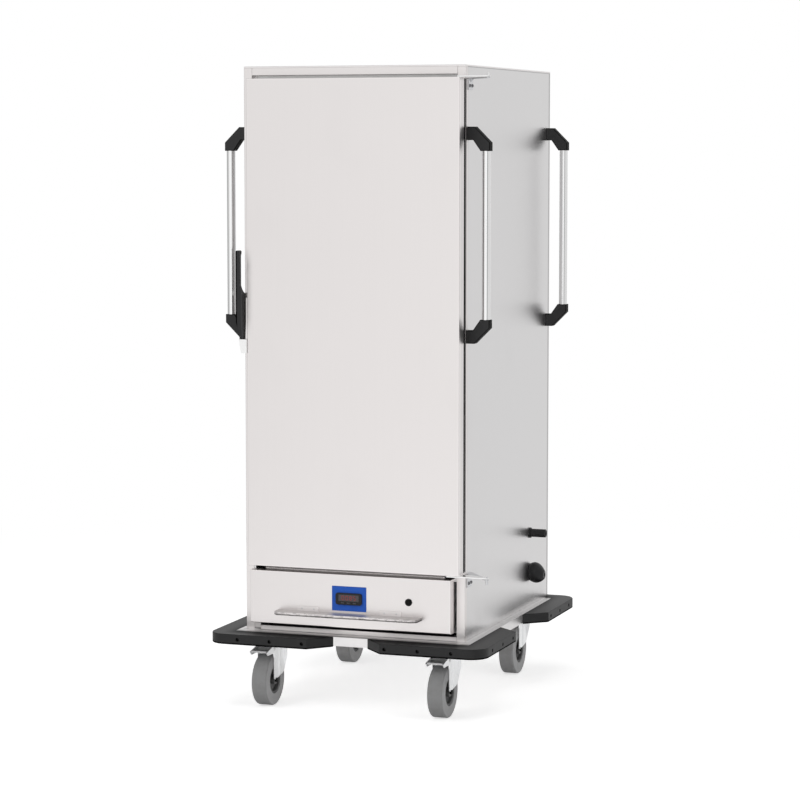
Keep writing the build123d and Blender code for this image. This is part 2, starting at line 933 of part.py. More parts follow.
def fan_wheel():
    """Axial fan: pitched blades round a bored hub."""
    middle = motor_face() - fan_shaft_gap - fan_hub_length / 2
    wheel = rod(along_y, (0, 0, 0), fan_hub_radius, fan_hub_length)
    root = fan_hub_radius - fan_blade_root
    blade = Box(fan_blade_chord, fan_blade_sheet, fan_radius - root)
    blade = Pos(0, 0, (fan_radius + root) / 2) * Rot(0, 0, fan_blade_pitch) * blade
    for index in range(fan_blades):
        wheel += Rot(0, index * 360 / fan_blades, 0) * blade
    wheel -= rod(along_y, (0, 0, 0), fan_shaft_radius + pin_clearance, fan_hub_length)
    return Pos(0, middle, fan_axis_height()) * wheel


def pull_ledge():
    """Finger ledge across the drawer front: a plate with a turned-down rim and two fixing tabs."""
    back = drawer_front_y
    front = back - ledge_depth
    half = ledge_half_width
    face = outline((-half, back), (-half, front), (half, front), (half, back))
    face = fillet(face.vertices().sort_by(Axis.Y)[:2], ledge_corner_radius)
    inside = outline(
        (-half + ledge_sheet, back),
        (-half + ledge_sheet, front + ledge_sheet),
        (half - ledge_sheet, front + ledge_sheet),
        (half - ledge_sheet, back),
    )
    inside = fillet(inside.vertices().sort_by(Axis.Y)[:2], ledge_corner_radius - ledge_sheet)
    bottom = ledge_top - ledge_sheet - ledge_lip
    ledge = Pos(0, 0, bottom) * extrude(face, amount=ledge_sheet + ledge_lip)
    ledge -= Pos(0, 0, bottom) * extrude(inside, amount=ledge_lip)
    for side in (-1, 1):
        wide = sorted((side * ledge_tab_inner, side * ledge_tab_outer))
        ledge += slab(wide, (back - ledge_sheet, back), (ledge_top, ledge_top + ledge_tab_height))
    return ledge


# Controls


def control_plate():
    """Thin coloured plate behind the controller."""
    half = control_plate_width / 2
    half_height = control_plate_height / 2
    deep = (drawer_front_y - control_plate_sheet, drawer_front_y)
    plate = slab((-half, half), deep, (control_z - half_height, control_z + half_height))
    gap = controller_body_clearance
    hole = controller_body_width / 2 + gap
    hole_height = controller_body_height / 2 + gap
    return plate - slab((-hole, hole), deep, (control_z - hole_height, control_z + hole_height))


def bezel_front():
    return drawer_front_y - control_plate_sheet - controller_bezel_depth


def key_places():
    first = -(key_count - 1) * key_pitch / 2
    return [first + index * key_pitch for index in range(key_count)]


def controller():
    """Panel controller: rounded bezel with a window pocket and key wells, on a body through the panel."""
    back = drawer_front_y - control_plate_sheet
    bezel = RectangleRounded(controller_width, controller_height, controller_corner_radius)
    body = Pos(0, back, control_z) * extrude(Plane.XZ * bezel, amount=controller_bezel_depth)
    half = controller_body_width / 2
    half_height = controller_body_height / 2
    deep = (back, back + control_plate_sheet + controller_body_depth)
    body += slab((-half, half), deep, (control_z - half_height, control_z + half_height))
    window_z = control_z + window_rise
    half_window = window_width / 2
    tall = (window_z - window_height / 2, window_z + window_height / 2)
    pocket = window_sheet + window_recess
    body -= slab((-half_window, half_window), (bezel_front(), bezel_front() + pocket), tall)
    for x in key_places():
        well = key_width / 2 + key_fit
        low = control_z - key_drop - key_height / 2 - key_fit
        high = low + key_height + 2 * key_fit
        deep = (bezel_front(), bezel_front() + key_pocket_depth)
        body -= slab((x - well, x + well), deep, (low, high))
    return body


def display_window():
    window_z = control_z + window_rise
    half = window_width / 2
    deep = (bezel_front() + window_recess, bezel_front() + window_recess + window_sheet)
    return slab((-half, half), deep, (window_z - window_height / 2, window_z + window_height / 2))


def controller_key(x):
    """One push key standing a little out of its well."""
    back = bezel_front() + key_pocket_depth - key_travel - key_fit
    depth = back - bezel_front() + key_proud
    key = RectangleRounded(key_width, key_height, key_corner_radius)
    return Pos(x, back, control_z - key_drop) * extrude(Plane.XZ * key, amount=depth)


def switch_front():
    return drawer_front_y - switch_flange_depth


def switch_pivot():
    return switch_front() + switch_rocker_depth / 2 - switch_rocker_proud


def switch_body():
    """Round snap-in switch body with a flange and a well for its rocker."""
    middle = drawer_front_y - switch_flange_depth / 2
    body = rod(along_y, (switch_x, middle, control_z), switch_flange_radius, switch_flange_depth)
    barrel = (switch_x, drawer_front_y + switch_body_depth / 2, control_z)
    body += rod(along_y, barrel, switch_body_radius, switch_body_depth)
    well = switch_rocker_radius + switch_fit
    well_middle = (switch_x, switch_front() + switch_well_depth / 2, control_z)
    body -= rod(along_y, well_middle, well, switch_well_depth)
    pin_length = 2 * switch_body_radius - run_clearance
    pin_bore = switch_pin_radius + pin_clearance
    return body - rod(along_x, (switch_x, switch_pivot(), control_z), pin_bore, pin_length)


def switch_rocker():
    """Round rocker on a cross pin in the switch body."""
    rocker = rod(along_y, (switch_x, switch_pivot(), control_z), switch_rocker_radius, switch_rocker_depth)
    pin_length = 2 * (switch_rocker_radius + switch_fit) + switch_pin_radius
    return rocker + rod(along_x, (switch_x, switch_pivot(), control_z), switch_pin_radius, pin_length)


# Right wall fittings


def cable_peg():
    """Round peg for the wound cable, flanged at the wall, hollow at its end."""
    y = cabinet_front + peg_from_front
    z = base_top + peg_rise
    peg = rod(along_x, (half_width + peg_length / 2, y, z), peg_radius, peg_length)
    peg = fillet(peg.faces().sort_by(Axis.X)[-1].edges(), peg_edge_radius)
    peg += rod(along_x, (half_width + peg_flange / 2, y, z), peg_flange_radius, peg_flange)
    bore = (half_width + peg_length - peg_bore_depth / 2, y, z)
    return peg - rod(along_x, bore, peg_bore_radius, peg_bore_depth)


def inlet_gland():
    """Round-bellied inlet hood that tapers to a bored, slightly drooping tip."""
    y = cabinet_front + gland_from_front
    z = base_top + gland_rise
    belly_drop = gland_tip_drop * (gland_belly_out / gland_tip_out) ** 2
    rings = (
        (0, 0, gland_root_radius),
        (gland_belly_out, belly_drop, gland_belly_radius),
        (gland_tip_out, gland_tip_drop, gland_tip_radius),
    )
    sections = []
    for out, drop, radius in rings:
        place = Plane((half_width + out, y, z - drop), x_dir=(0, 1, 0), z_dir=(1, 0, 0))
        sections.append(place * Circle(radius))
    hood = loft(sections)
    tip = (half_width + gland_tip_out - gland_bore_depth / 2, y, z - gland_tip_drop)
    return hood - rod(along_x, tip, gland_bore_radius, gland_bore_depth)


# Casters. Each is drawn round its own swivel axis and then put at its corner.


def caster_places():
    """Name, swivel place and brake of each caster."""
    return [
        ("front_left", -caster_x, -caster_y, True),
        ("front_right", caster_x, -caster_y, True),
        ("rear_left", -caster_x, caster_y, False),
        ("rear_right", caster_x, caster_y, False),
    ]


def caster_head():
    """Top plate with the bearing race and the king pin that carries the fork."""
    plate = Box(plate_width, plate_length, plate_sheet)
    head = Pos(0, 0, caster_height - plate_sheet / 2) * plate
    head += Pos(0, 0, race_bottom + race_height / 2) * Cylinder(race_radius, race_height)
    nut_top = crown_top - crown_sheet - crown_gap
    nut_bottom = nut_top - king_nut_height
    pin_middle = (nut_bottom + race_bottom) / 2
    head += Pos(0, 0, pin_middle) * Cylinder(king_pin_radius, race_bottom - nut_bottom)
    return head + Pos(0, 0, (nut_bottom + nut_top) / 2) * Cylinder(king_nut_radius, king_nut_height)


def caster_heads():
    head = caster_head()
    return group(Pos(x, y, 0) * head for name, x, y, brake in caster_places())


def fork_leg(nose):
    """One pressed leg: straight front, pointed toe over the axle's eye, a raised step, a turned-out back
    edge, and on the braked casters a nose."""
    toe = wheel_radius + fork_toe_rise
    heel = wheel_radius + fork_heel_rise
    back_low = heel + fork_heel_cut
    front_top = [(-fork_front, crown_top)]
    if nose:
        throat = crown_top - nose_throat_drop
        front_top = [
            (-nose_root, crown_top),
            (-nose_brow, crown_top - nose_brow_drop),
            (-nose_reach, crown_top - nose_tip_drop),
            (-nose_reach + nose_depth, throat),
            (-fork_front, throat),
        ]
    face = outline(
        *front_top,
        (-fork_front, toe + fork_toe_round),
        (-fork_toe_ahead, toe),
        (fork_heel_behind, heel),
        (fork_back, back_low),
        (fork_back, crown_top),
    )
    face += Pos(-caster_trail, wheel_radius) * Circle(fork_eye_radius)
    leg = Pos(fork_inner, 0, 0) * extrude(Plane.YZ * face, amount=fork_sheet)
    slope = (heel - toe) / (fork_heel_behind + fork_toe_ahead)
    step_low = toe + slope * (fork_toe_ahead - fork_step_ahead) + fork_step_margin
    step = outline(
        (-fork_step_ahead, crown_top),
        (-fork_step_ahead, step_low),
        (fork_heel_behind, heel + fork_step_margin),
        (fork_back, back_low + fork_step_margin),
        (fork_back, crown_top),
    )
    leg += Pos(fork_outer, 0, 0) * extrude(Plane.YZ * step, amount=fork_step_proud)
    edge = outline(
        (fork_outer, back_low),
        (fork_outer + fork_flange, back_low + fork_flange_slope),
        (fork_outer + fork_flange, crown_top),
        (fork_outer, crown_top),
    )
    return leg + Pos(0, fork_back, 0) * extrude(Plane.XZ * edge, amount=fork_sheet)


def caster_fork(nose):
    """Pressed fork: a crown bored for the king pin, two legs, and the axle bolt through their tips."""
    leg = fork_leg(nose)
    fork = leg + mirrored(leg)
    crown = Pos(0, 0, crown_top - crown_sheet / 2) * Cylinder(crown_radius, crown_sheet)
    fork += crown
    king_bore = king_pin_radius + pin_clearance
    fork -= Pos(0, 0, crown_top - crown_sheet / 2) * Cylinder(king_bore, crown_sheet)
    axle_hole = (0, -caster_trail, wheel_radius)
    fork -= rod(along_x, axle_hole, axle_radius + pin_clearance, 2 * fork_outer)
    if nose:
        fork -= rod(along_x, pedal_pivot(), pedal_pin_radius + pin_clearance, 2 * fork_outer)
    bolt = rod(along_x, axle_hole, axle_radius, 2 * fork_outer)
    for side in (-1, 1):
        head = (side * (fork_outer + axle_head / 2), -caster_trail, wheel_radius)
        bolt += rod(along_x, head, axle_head_radius, axle_head)
    return group((fork, bolt))


def tyre():
    """Soft tread ring with rounded shoulders."""
    height = wheel_radius - rim_radius
    section = Pos(0, rim_radius + height / 2) * Rectangle(wheel_width, height)
    section = fillet(section.vertices().sort_by(Axis.Y)[-2:], tyre_edge_radius)
    return Pos(0, -caster_trail, wheel_radius) * revolve(section, axis=Axis.X)


def rim():
    """Wheel centre: bored hub, thin web and a band under the tyre."""
    band = Pos(0, rim_radius - rim_flange / 2) * Rectangle(rim_width, rim_flange)
    web_height = rim_radius - rim_flange - rim_hub_radius
    web = Pos(0, rim_hub_radius + web_height / 2) * Rectangle(rim_web, web_height)
    bore = axle_radius + pin_clearance
    hub_width = 2 * (fork_inner - hub_end_gap)
    hub = Pos(0, (rim_hub_radius + bore) / 2) * Rectangle(hub_width, rim_hub_radius - bore)
    return Pos(0, -caster_trail, wheel_radius) * revolve(band + web + hub, axis=Axis.X)


def pedal_pivot():
    return (0, -pedal_pivot_ahead, crown_top - pedal_pivot_drop)


def brake_pedal():
    """Bent foot plate between the fork's noses, with a deep lip in front and a cross pin."""
    half = fork_inner - pedal_side_gap
    heel = (-pedal_pivot_ahead + pedal_heel_behind, crown_top - pedal_heel_drop)
    bend = (-pedal_bend_ahead, crown_top - pedal_bend_drop)
    lip = (-pedal_lip_ahead, crown_top - pedal_lip_drop)
    face = outline(
        heel,
        bend,
        lip,
        (lip[0], lip[1] - pedal_lip_height),
        (lip[0] + pedal_sheet, lip[1] - pedal_lip_height),
        (bend[0], bend[1] - pedal_sheet),
        (heel[0], heel[1] - pedal_sheet),
    )
    pedal = extrude(Plane.YZ * face, amount=half, both=True)
    pin = rod(along_x, pedal_pivot(), pedal_pin_radius, 2 * fork_outer)
    return pedal + pin


def over_base(shape):
    """A cabinet piece moved to its place on the base."""
    return group(Pos(cabinet_offset, 0, 0) * solid for solid in shape.solids())


def nodes():
    """Every piece under its name."""
    right_panel = side_panel()
    right_post = front_post()
    right_runners = tray_runners()
    cabinet = {
        "side_panel_right": right_panel,
        "side_panel_left": mirrored(right_panel),
        "front_post_right": right_post,
        "front_post_left": mirrored(right_post),
        "back_panel": back_panel(),
        "roof_panel": roof_panel(),
        "top_rail": top_rail(),
        "ceiling_panel": ceiling_panel(),
        "floor_panel": floor_panel(),
        "middle_rail": middle_rail(),
        "kick_rail": kick_rail(),
        "tray_runners_right": right_runners,
        "tray_runners_left": mirrored(right_runners),
        "drawer_guides": drawer_guides(),
        "handle_tubes": handle_tubes(),
        "handle_ends": handle_ends(),
        "hinge_bracket_upper": hinge_bracket(
            hinge_upper_top, door_top + hinge_plate + hinge_upper_barrel, hinge_upper_leg, 0
        ),
        "hinge_bracket_lower": hinge_bracket(
            hinge_lower_top, door_bottom + hinge_pin_tail, hinge_lower_leg, hinge_lower_barrel
        ),
        "latch_keeper": latch_keeper(),
        "cable_peg": cable_peg(),
        "inlet_gland": inlet_gland(),
        "door_shell": door_shell(),
        "door_inner": door_inner(),
        "door_gasket": door_gasket(),
        "hinge_arm_upper": hinge_arm(door_top, hinge_upper_barrel),
        "hinge_arm_lower": hinge_arm(door_bottom - hinge_plate, 0),
        "latch_bracket": latch_bracket(),
        "latch_lever": latch_lever(),
        "drawer_front": drawer_front(),
        "drawer_chassis": drawer_chassis(),
        "heating_element": heating_element(),
        "fan_motor": fan_motor(),
        "fan_wheel": fan_wheel(),
        "pull_ledge": pull_ledge(),
        "control_plate": control_plate(),
        "controller": controller(),
        "display_window": display_window(),
        "switch_body": switch_body(),
        "switch_rocker": switch_rocker(),
    }
    for index, x in enumerate(key_places()):
        cabinet[f"controller_key_{index + 1}"] = controller_key(x)
    pieces = {name: over_base(shape) for name, shape in cabinet.items()}
    pieces["base_pan"] = base_pan()
    pieces["corner_bumpers"] = corner_bumpers()
    pieces["caster_heads"] = caster_heads()
    for name, x, y, brake in caster_places():
        pieces[f"caster_fork_{name}"] = Pos(x, y, 0) * caster_fork(brake)
        pieces[f"caster_tyre_{name}"] = Pos(x, y, 0) * tyre()
        pieces[f"caster_rim_{name}"] = Pos(x, y, 0) * rim()
        if brake:
            pieces[f"brake_pedal_{name}"] = Pos(x, y, 0) * brake_pedal()
    return pieces


os.makedirs("parts", exist_ok=True)
for node, shape in nodes().items():
    export_step(shape, f"parts/{node}.step")
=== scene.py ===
import json
import math

import bmesh
import bpy
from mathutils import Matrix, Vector


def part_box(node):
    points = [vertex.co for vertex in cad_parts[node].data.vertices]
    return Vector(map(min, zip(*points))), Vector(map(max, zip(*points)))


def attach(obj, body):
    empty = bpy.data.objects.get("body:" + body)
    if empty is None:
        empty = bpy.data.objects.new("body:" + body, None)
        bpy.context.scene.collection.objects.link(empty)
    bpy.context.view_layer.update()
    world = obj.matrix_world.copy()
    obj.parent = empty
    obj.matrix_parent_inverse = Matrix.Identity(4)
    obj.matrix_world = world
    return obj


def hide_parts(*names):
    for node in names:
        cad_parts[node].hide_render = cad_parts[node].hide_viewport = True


# Heated banquet trolley. Metres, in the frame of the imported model: X right, Y back, Z up from the floor.

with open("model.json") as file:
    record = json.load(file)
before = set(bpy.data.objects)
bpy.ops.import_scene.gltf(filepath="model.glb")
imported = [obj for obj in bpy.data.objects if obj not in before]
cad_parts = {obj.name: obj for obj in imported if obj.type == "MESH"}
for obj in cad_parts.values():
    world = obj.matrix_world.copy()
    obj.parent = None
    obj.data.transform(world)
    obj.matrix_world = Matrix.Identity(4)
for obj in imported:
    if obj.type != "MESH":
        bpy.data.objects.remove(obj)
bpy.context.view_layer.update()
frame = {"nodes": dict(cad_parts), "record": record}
solids = frame["nodes"]
body_of = {node: body for body, members in frame["record"]["behaviour"]["bodies"].items() for node in members}
scene = bpy.context.scene
CASTERS = ("front_left", "front_right", "rear_left", "rear_right")


def middle_of(node):
    low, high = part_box(node)
    return (low + high) / 2


CABINET = middle_of("roof_panel").x


# Node sheets


class Wire:
    """One output of a node sheet. Arithmetic on wires adds Math nodes to the sheet."""

    def __init__(self, sheet, socket):
        self.sheet = sheet
        self.socket = socket

    def math(self, operation, *values):
        return self.sheet.node("ShaderNodeMath", {"operation": operation}, dict(enumerate(values)))

    def __add__(self, other):
        return self.math("ADD", self, other)

    def __sub__(self, other):
        return self.math("SUBTRACT", self, other)

    def __rsub__(self, other):
        return self.math("SUBTRACT", other, self)

    def __mul__(self, other):
        return self.math("MULTIPLY", self, other)

    def __truediv__(self, other):
        return self.math("DIVIDE", self, other)

    def __pow__(self, other):
        return self.math("POWER", self, other)

    def __lt__(self, other):
        return self.math("LESS_THAN", self, other)

    def __gt__(self, other):
        return self.math("GREATER_THAN", self, other)

    def __abs__(self):
        return self.math("ABSOLUTE", self)

    __radd__ = __add__
    __rmul__ = __mul__


class Sheet:
    """A node tree with one way to add a node: its settings first, then what its sockets get."""

    def __init__(self, tree):
        self.tree = tree

    def node(self, kind, settings=None, inputs=None, out=0):
        made = self.tree.nodes.new(kind)
        for label, value in (settings or {}).items():
            if label == "stops":
                points = made.color_ramp.elements
                while len(points) < len(value):
                    points.new(1.0)
                for point, (place, colour) in zip(points, value):
                    point.position = place
                    point.color = (*colour, 1.0)
            else:
                setattr(made, label, value)
        for label, value in (inputs or {}).items():
            self.plug(made.inputs[label], value)
        return Wire(self, made.outputs[out])

    def plug(self, socket, value):
        if isinstance(value, Wire):
            self.tree.links.new(value.socket, socket)
        elif socket.type == "RGBA" and len(value) == 3:
            socket.default_value = (*value, 1.0)
        else:
            socket.default_value = value


class Finish(Sheet):
    """A surface finish on Object coordinates, round one Principled shader."""

    def __init__(self, name, constants):
        self.material = bpy.data.materials.new(name)
        self.material.use_nodes = True
        super().__init__(self.material.node_tree)
        self.tree.nodes.clear()
        self.shader = self.tree.nodes.new("ShaderNodeBsdfPrincipled")
        self.result = self.tree.nodes.new("ShaderNodeOutputMaterial")
        self.show(Wire(self, self.shader.outputs[0]))
        for label, value in constants.items():
            self.plug(self.shader.inputs[label], value)
        self.place = self.node("ShaderNodeTexCoord", out="Object")
        self.x, self.y, self.z = [self.node("ShaderNodeSeparateXYZ", None, {0: self.place}, axis)
                                  for axis in "XYZ"]

    def show(self, surface):
        self.plug(self.result.inputs["Surface"], surface)

    def feed(self, label, value):
        self.plug(self.shader.inputs[label], value)

    def noise(self, scale, detail=2.0, rough=0.5):
        """Soft noise; three scales stretch it along the axes."""
        spread = scale if isinstance(scale, tuple) else (scale, scale, scale)
        place = self.node("ShaderNodeMapping", None, {"Vector": self.place, "Scale": spread})
        return self.node("ShaderNodeTexNoise", None,
                         {"Vector": place, "Scale": 1.0, "Detail": detail, "Roughness": rough})

    def cells(self, scale, feature="F1", out="Distance"):
        return self.node("ShaderNodeTexVoronoi", {"feature": feature},
                         {"Vector": self.place, "Scale": scale}, out)

    def rise(self, value, low, high):
        """0 below low, 1 above high, smooth between."""
        return self.node("ShaderNodeMapRange", {"interpolation_type": "SMOOTHSTEP"},
                         {"Value": value, "From Min": low, "From Max": high})

    def shade(self, colour, amount):
        """A colour made lighter or darker by a wire."""
        return self.node("ShaderNodeVectorMath", {"operation": "SCALE"}, {0: colour, "Scale": amount})

    def mix(self, amount, first, second):
        return self.node("ShaderNodeMix", {"data_type": "RGBA"}, {0: amount, 6: first, 7: second}, 2)

    def bump(self, height, depth, strength=1.0):
        """Surface relief: height from 0 to 1, depth in metres."""
        self.feed("Normal", self.node("ShaderNodeBump", None,
                                      {"Height": height, "Distance": depth, "Strength": strength}))


# Finishes


def satin_steel(name, tone, grain, rough=0.30, grime=0.0, soil_and_shade=None, relief=0.5, blur=0.0):
    """Brushed stainless sheet. Grain is the axis of the brush marks, and soil gives how much darker each
    place is; its functions paint dull wear and painted shade, and painted highlights where they are negative.
    """
    finish = Finish(name, {"Metallic": 1.0})
    fine = finish.noise(tuple(5.0 if axis == grain else 1900.0 for axis in "xyz"), 2.0, 0.6)
    broad = finish.noise(tuple(1.6 if axis == grain else 90.0 for axis in "xyz"), 2.0, 0.5)
    cloud = finish.noise(2.3, 2.0)
    smear = finish.rise(finish.noise((5.0, 5.0, 3.0), 3.0, 0.6), 0.52, 0.72)
    colour = finish.shade(tone, 0.965 + 0.035 * fine + 0.012 * broad + 0.022 * cloud)
    if grime:
        dust = finish.rise(finish.z, 0.30, 0.17) * finish.rise(finish.noise(24.0, 4.0), 0.3, 0.75)
        colour = finish.mix(dust * grime, colour, (0.45, 0.44, 0.42))
    satin = rough - 0.03 + 0.02 * broad + 0.05 * fine + 0.04 * smear
    if soil_and_shade:
        dull = soil_and_shade(finish)
        colour = finish.shade(colour, 1.0 - dull)
        satin = satin + dull * blur
    finish.feed("Base Color", colour)
    finish.feed("Roughness", satin)
    finish.bump(fine, 0.00001, relief)
    return finish.material


def lever_reach(finish):
    """1 along the height of the latch lever, soft at both ends."""
    low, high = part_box("latch_lever")
    above = finish.rise(finish.z, low.z + 0.020, low.z + 0.090)
    return above * finish.rise(finish.z, high.z + 0.014, high.z - 0.040)


def rim_highlight(finish, node):
    """Painted highlight along the edges of a front sheet, standing for light caught by its rounded edges."""
    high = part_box(node)[1]
    middle = middle_of(node)
    side = finish.rise(abs(finish.x - middle.x), high.x - middle.x - 0.0034, high.x - middle.x - 0.0022)
    level = finish.rise(abs(finish.z - middle.z), high.z - middle.z - 0.0034, high.z - middle.z - 0.0022)
    return side.math("MAXIMUM", side, level) * 0.09


def latch_shade_and_rim_highlight(finish):
    """Painted shade on the door's free edge beside the latch lever, standing for the lever's shadow and
    reflection, and the door's painted rim highlight.
    """
    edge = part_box("door_shell")[0].x
    beside = finish.rise(finish.x, edge + 0.024, edge - 0.004)
    marks = beside * beside * lever_reach(finish) * (0.22 + 0.44 * finish.noise((60.0, 60.0, 22.0), 3.0))
    return marks - rim_highlight(finish, "door_shell")


def drawer_rim_highlight(finish):
    """The drawer front's painted rim highlight."""
    return 0.0 - rim_highlight(finish, "drawer_front")


def gap_shadow_line(finish):
    """Painted shadow: a black line on the cabinet's outer sides along their front edges, within the seal's
    height, standing for the dark gap behind the door's edge.
    """
    low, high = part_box("door_gasket")
    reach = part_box("side_panel_right")[1].x - CABINET
    outside = finish.rise(abs(finish.x - CABINET), reach - 0.0008, reach - 0.0003)
    front = finish.rise(finish.y, high.y + 0.0052, high.y + 0.0040)
    return 0.92 * outside * front * (finish.z > low.z) * (finish.z < high.z)


def post_shade(finish):
    """The painted gap shadow along the outer front edge, and painted shade on the post behind the lever,
    standing for the lever's shadow and reflection.
    """
    behind = lever_reach(finish) * finish.rise(finish.x, CABINET - 0.20, CABINET - 0.22)
    behind = behind * 0.36 * finish.noise((60.0, 60.0, 22.0), 3.0)
    return behind.math("MAXIMUM", behind, gap_shadow_line(finish))


def sheet_edges_and_gap_shadow(finish):
    """The painted gap shadow along the front edge, and the dull cut edges of a wall sheet along its top and
    its back.
    """
    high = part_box("side_panel_right")[1]
    top = finish.rise(finish.z, high.z - 0.0030, high.z - 0.0016)
    back = finish.rise(finish.y, high.y - 0.0034, high.y - 0.0020)
    return top.math("MAXIMUM", 0.34 * top.math("MAXIMUM", top, back), gap_shadow_line(finish))


def seam_shade(finish):
    """Painted shade along the base's front and back ledges, by the bumpers, and its side ledges a little
    darker.
    """
    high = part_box("base_pan")[1]
    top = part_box("corner_bumpers")[1].z
    ledge = finish.rise(finish.z, top - 0.0012, top - 0.0004)
    side = finish.rise(abs(finish.x), high.x - 0.026, high.x - 0.018)
    return ledge * (0.62 * finish.rise(abs(finish.y), high.y - 0.022, high.y - 0.001) + 0.15 * side)


def guide_foot_shade(finish):
    """Painted shade on the drawer guides: a little darker all over, and darker along their feet above the
    base.
    """
    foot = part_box("drawer_guides")[0].z
    return 0.14 + 0.5 * finish.rise(finish.z, foot + 0.0056, foot + 0.0044)


def ledge_shade_and_highlights(finish):
    """Painted reflections in uneven patches on the pull ledge's lip, painted shade at its lower edge and on
    its duller shelf, and painted highlights at the ends of its tabs.
    """
    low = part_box("pull_ledge")[0]
    shelf = finish.rise(finish.y, low.y + 0.003, low.y + 0.008)
    shelf = shelf * finish.rise(finish.z, low.z + 0.009, low.z + 0.007)
    lip = finish.rise(finish.y, low.y + 0.006, low.y + 0.002)
    patches = finish.rise(finish.noise((95.0, 60.0, 260.0), 3.0, 0.6), 0.44, 0.62)
    hem = finish.rise(finish.z, low.z + 0.0038, low.z + 0.0024)
    tabs = finish.rise(finish.z, low.z + 0.0085, low.z + 0.0095)
    ends = [finish.rise(abs(finish.x - CABINET - end), 0.0022, 0.0010) for end in (-0.082, 0.140)]
    bright = tabs * (ends[0] + ends[1]) * 0.16
    return lip * (0.04 + patches * 0.22) + hem * 0.46 + shelf * 0.30 - bright


def door_shadow_line(finish):
    """Painted shadow: a dark line along the middle rail, behind the door's lower edge."""
    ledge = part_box("drawer_front")[1].z
    return 0.72 * finish.rise(finish.z, ledge + 0.0012, ledge + 0.0022) * (finish.z < ledge + 0.05)


def bright_zinc(name, tone, rough=0.30, metal=1.0):
    """Zinc plate: pale and even, with a faint crystal pattern and a dull film in places."""
    finish = Finish(name, {"Metallic": metal})
    crystal = finish.cells(190.0, "F1", "Color")
    flake = finish.node("ShaderNodeSeparateColor", None, {0: crystal})
    film = finish.rise(finish.noise(34.0, 4.0, 0.6), 0.45, 0.75)
    colour = finish.shade(tone, 0.97 + 0.04 * flake)
    finish.feed("Base Color", finish.mix(film * 0.12, colour, (0.60, 0.61, 0.62)))
    finish.feed("Roughness", rough + 0.03 * flake + 0.06 * film)
    finish.bump(finish.noise(420.0, 3.0), 0.00002, 0.3)
    return finish.material


def tube_steel(name, tone):
    """Polished tube: fine marks round it, a soft sheen."""
    finish = Finish(name, {"Metallic": 1.0})
    rings = finish.noise((60.0, 60.0, 1500.0), 2.0, 0.6)
    handled = finish.rise(finish.noise((30.0, 30.0, 14.0), 3.0, 0.6), 0.48, 0.7)
    finish.feed("Base Color", finish.shade(tone, 0.97 + 0.05 * rings))
    finish.feed("Roughness", 0.11 + 0.03 * rings + 0.05 * handled)
    finish.bump(rings, 0.00001, 0.4)
    return finish.material


def bumper_shade(finish):
    """Painted shade on a bumper, as a share of dead matt black: its lower edge, and its top along the base's
    front and back ledges.
    """
    low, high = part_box("corner_bumpers")
    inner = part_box("base_pan")[1]
    under = finish.rise(finish.z, low.z + 0.0046, low.z + 0.0034)
    seam = finish.rise(abs(finish.y), high.y - 0.006, inner.y + 0.012)
    seam = seam * finish.rise(abs(finish.x), inner.x + 0.03, inner.x - 0.02)
    return under.math("MAXIMUM", under, 0.55 * seam * finish.rise(finish.z, high.z - 0.003, high.z - 0.001))


def lever_edge_shade(finish):
    """Painted shade: the lever's rounded outer edge, made dead black."""
    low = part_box("latch_lever")[0]
    return finish.rise(finish.x, low.x + 0.0038, low.x + 0.0026)


def lever_facet_highlight(finish):
    """Painted highlight: the lever's inner facet, below the crotch, made paler."""
    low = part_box("latch_lever")[0]
    inner = finish.rise(finish.x, low.x + 0.0130, low.x + 0.0142)
    return inner * finish.rise(finish.z, low.z + 0.150, low.z + 0.140)


def moulded(name, tone, rough=0.5, grain=1400.0, depth=0.00006, scuff=0.0, gloss=0.35, dead=None, pale=None):
    """Moulded plastic with spark-eroded grain, rubbed where it is touched, paler where pale says (a painted
    highlight) and dead black where dead says (painted shade).
    """
    finish = Finish(name, {"Specular IOR Level": gloss})
    pits = finish.noise(grain, 3.0, 0.65)
    cloud = finish.noise(9.0, 3.0)
    colour = finish.shade(tone, 0.90 + 0.20 * cloud)
    wear = finish.rise(finish.noise((14.0, 14.0, 55.0), 5.0, 0.7), 0.62, 0.78)
    if pale:
        colour = finish.shade(colour, 1.0 + 0.9 * pale(finish))
    if scuff:
        colour = finish.mix(wear * scuff, colour, tuple(min(1.0, 2.0 * part + 0.01) for part in tone))
    finish.feed("Base Color", colour)
    finish.feed("Roughness", rough - 0.06 + 0.10 * pits + 0.08 * wear)
    finish.bump(pits, depth, 0.6)
    if dead:
        matt = finish.node("ShaderNodeBsdfDiffuse", None, {"Color": (0.002, 0.002, 0.002)})
        shader = Wire(finish, finish.shader.outputs[0])
        finish.show(finish.node("ShaderNodeMixShader", None, {0: dead(finish), 1: shader, 2: matt}))
    return finish.material


def soft_rubber(name, tone, rough=0.62):
    """Extruded seal: matt, with faint lines along its length and pale bloom."""
    finish = Finish(name, {"Specular IOR Level": 0.02})
    bloom = finish.rise(finish.noise(40.0, 4.0, 0.6), 0.5, 0.8)
    finish.feed("Base Color", finish.mix(bloom * 0.2, tone, (0.03, 0.03, 0.029)))
    finish.feed("Roughness", rough + 0.12 * bloom)
    finish.bump(finish.noise(900.0, 2.0), 0.00005, 0.5)
    return finish.material


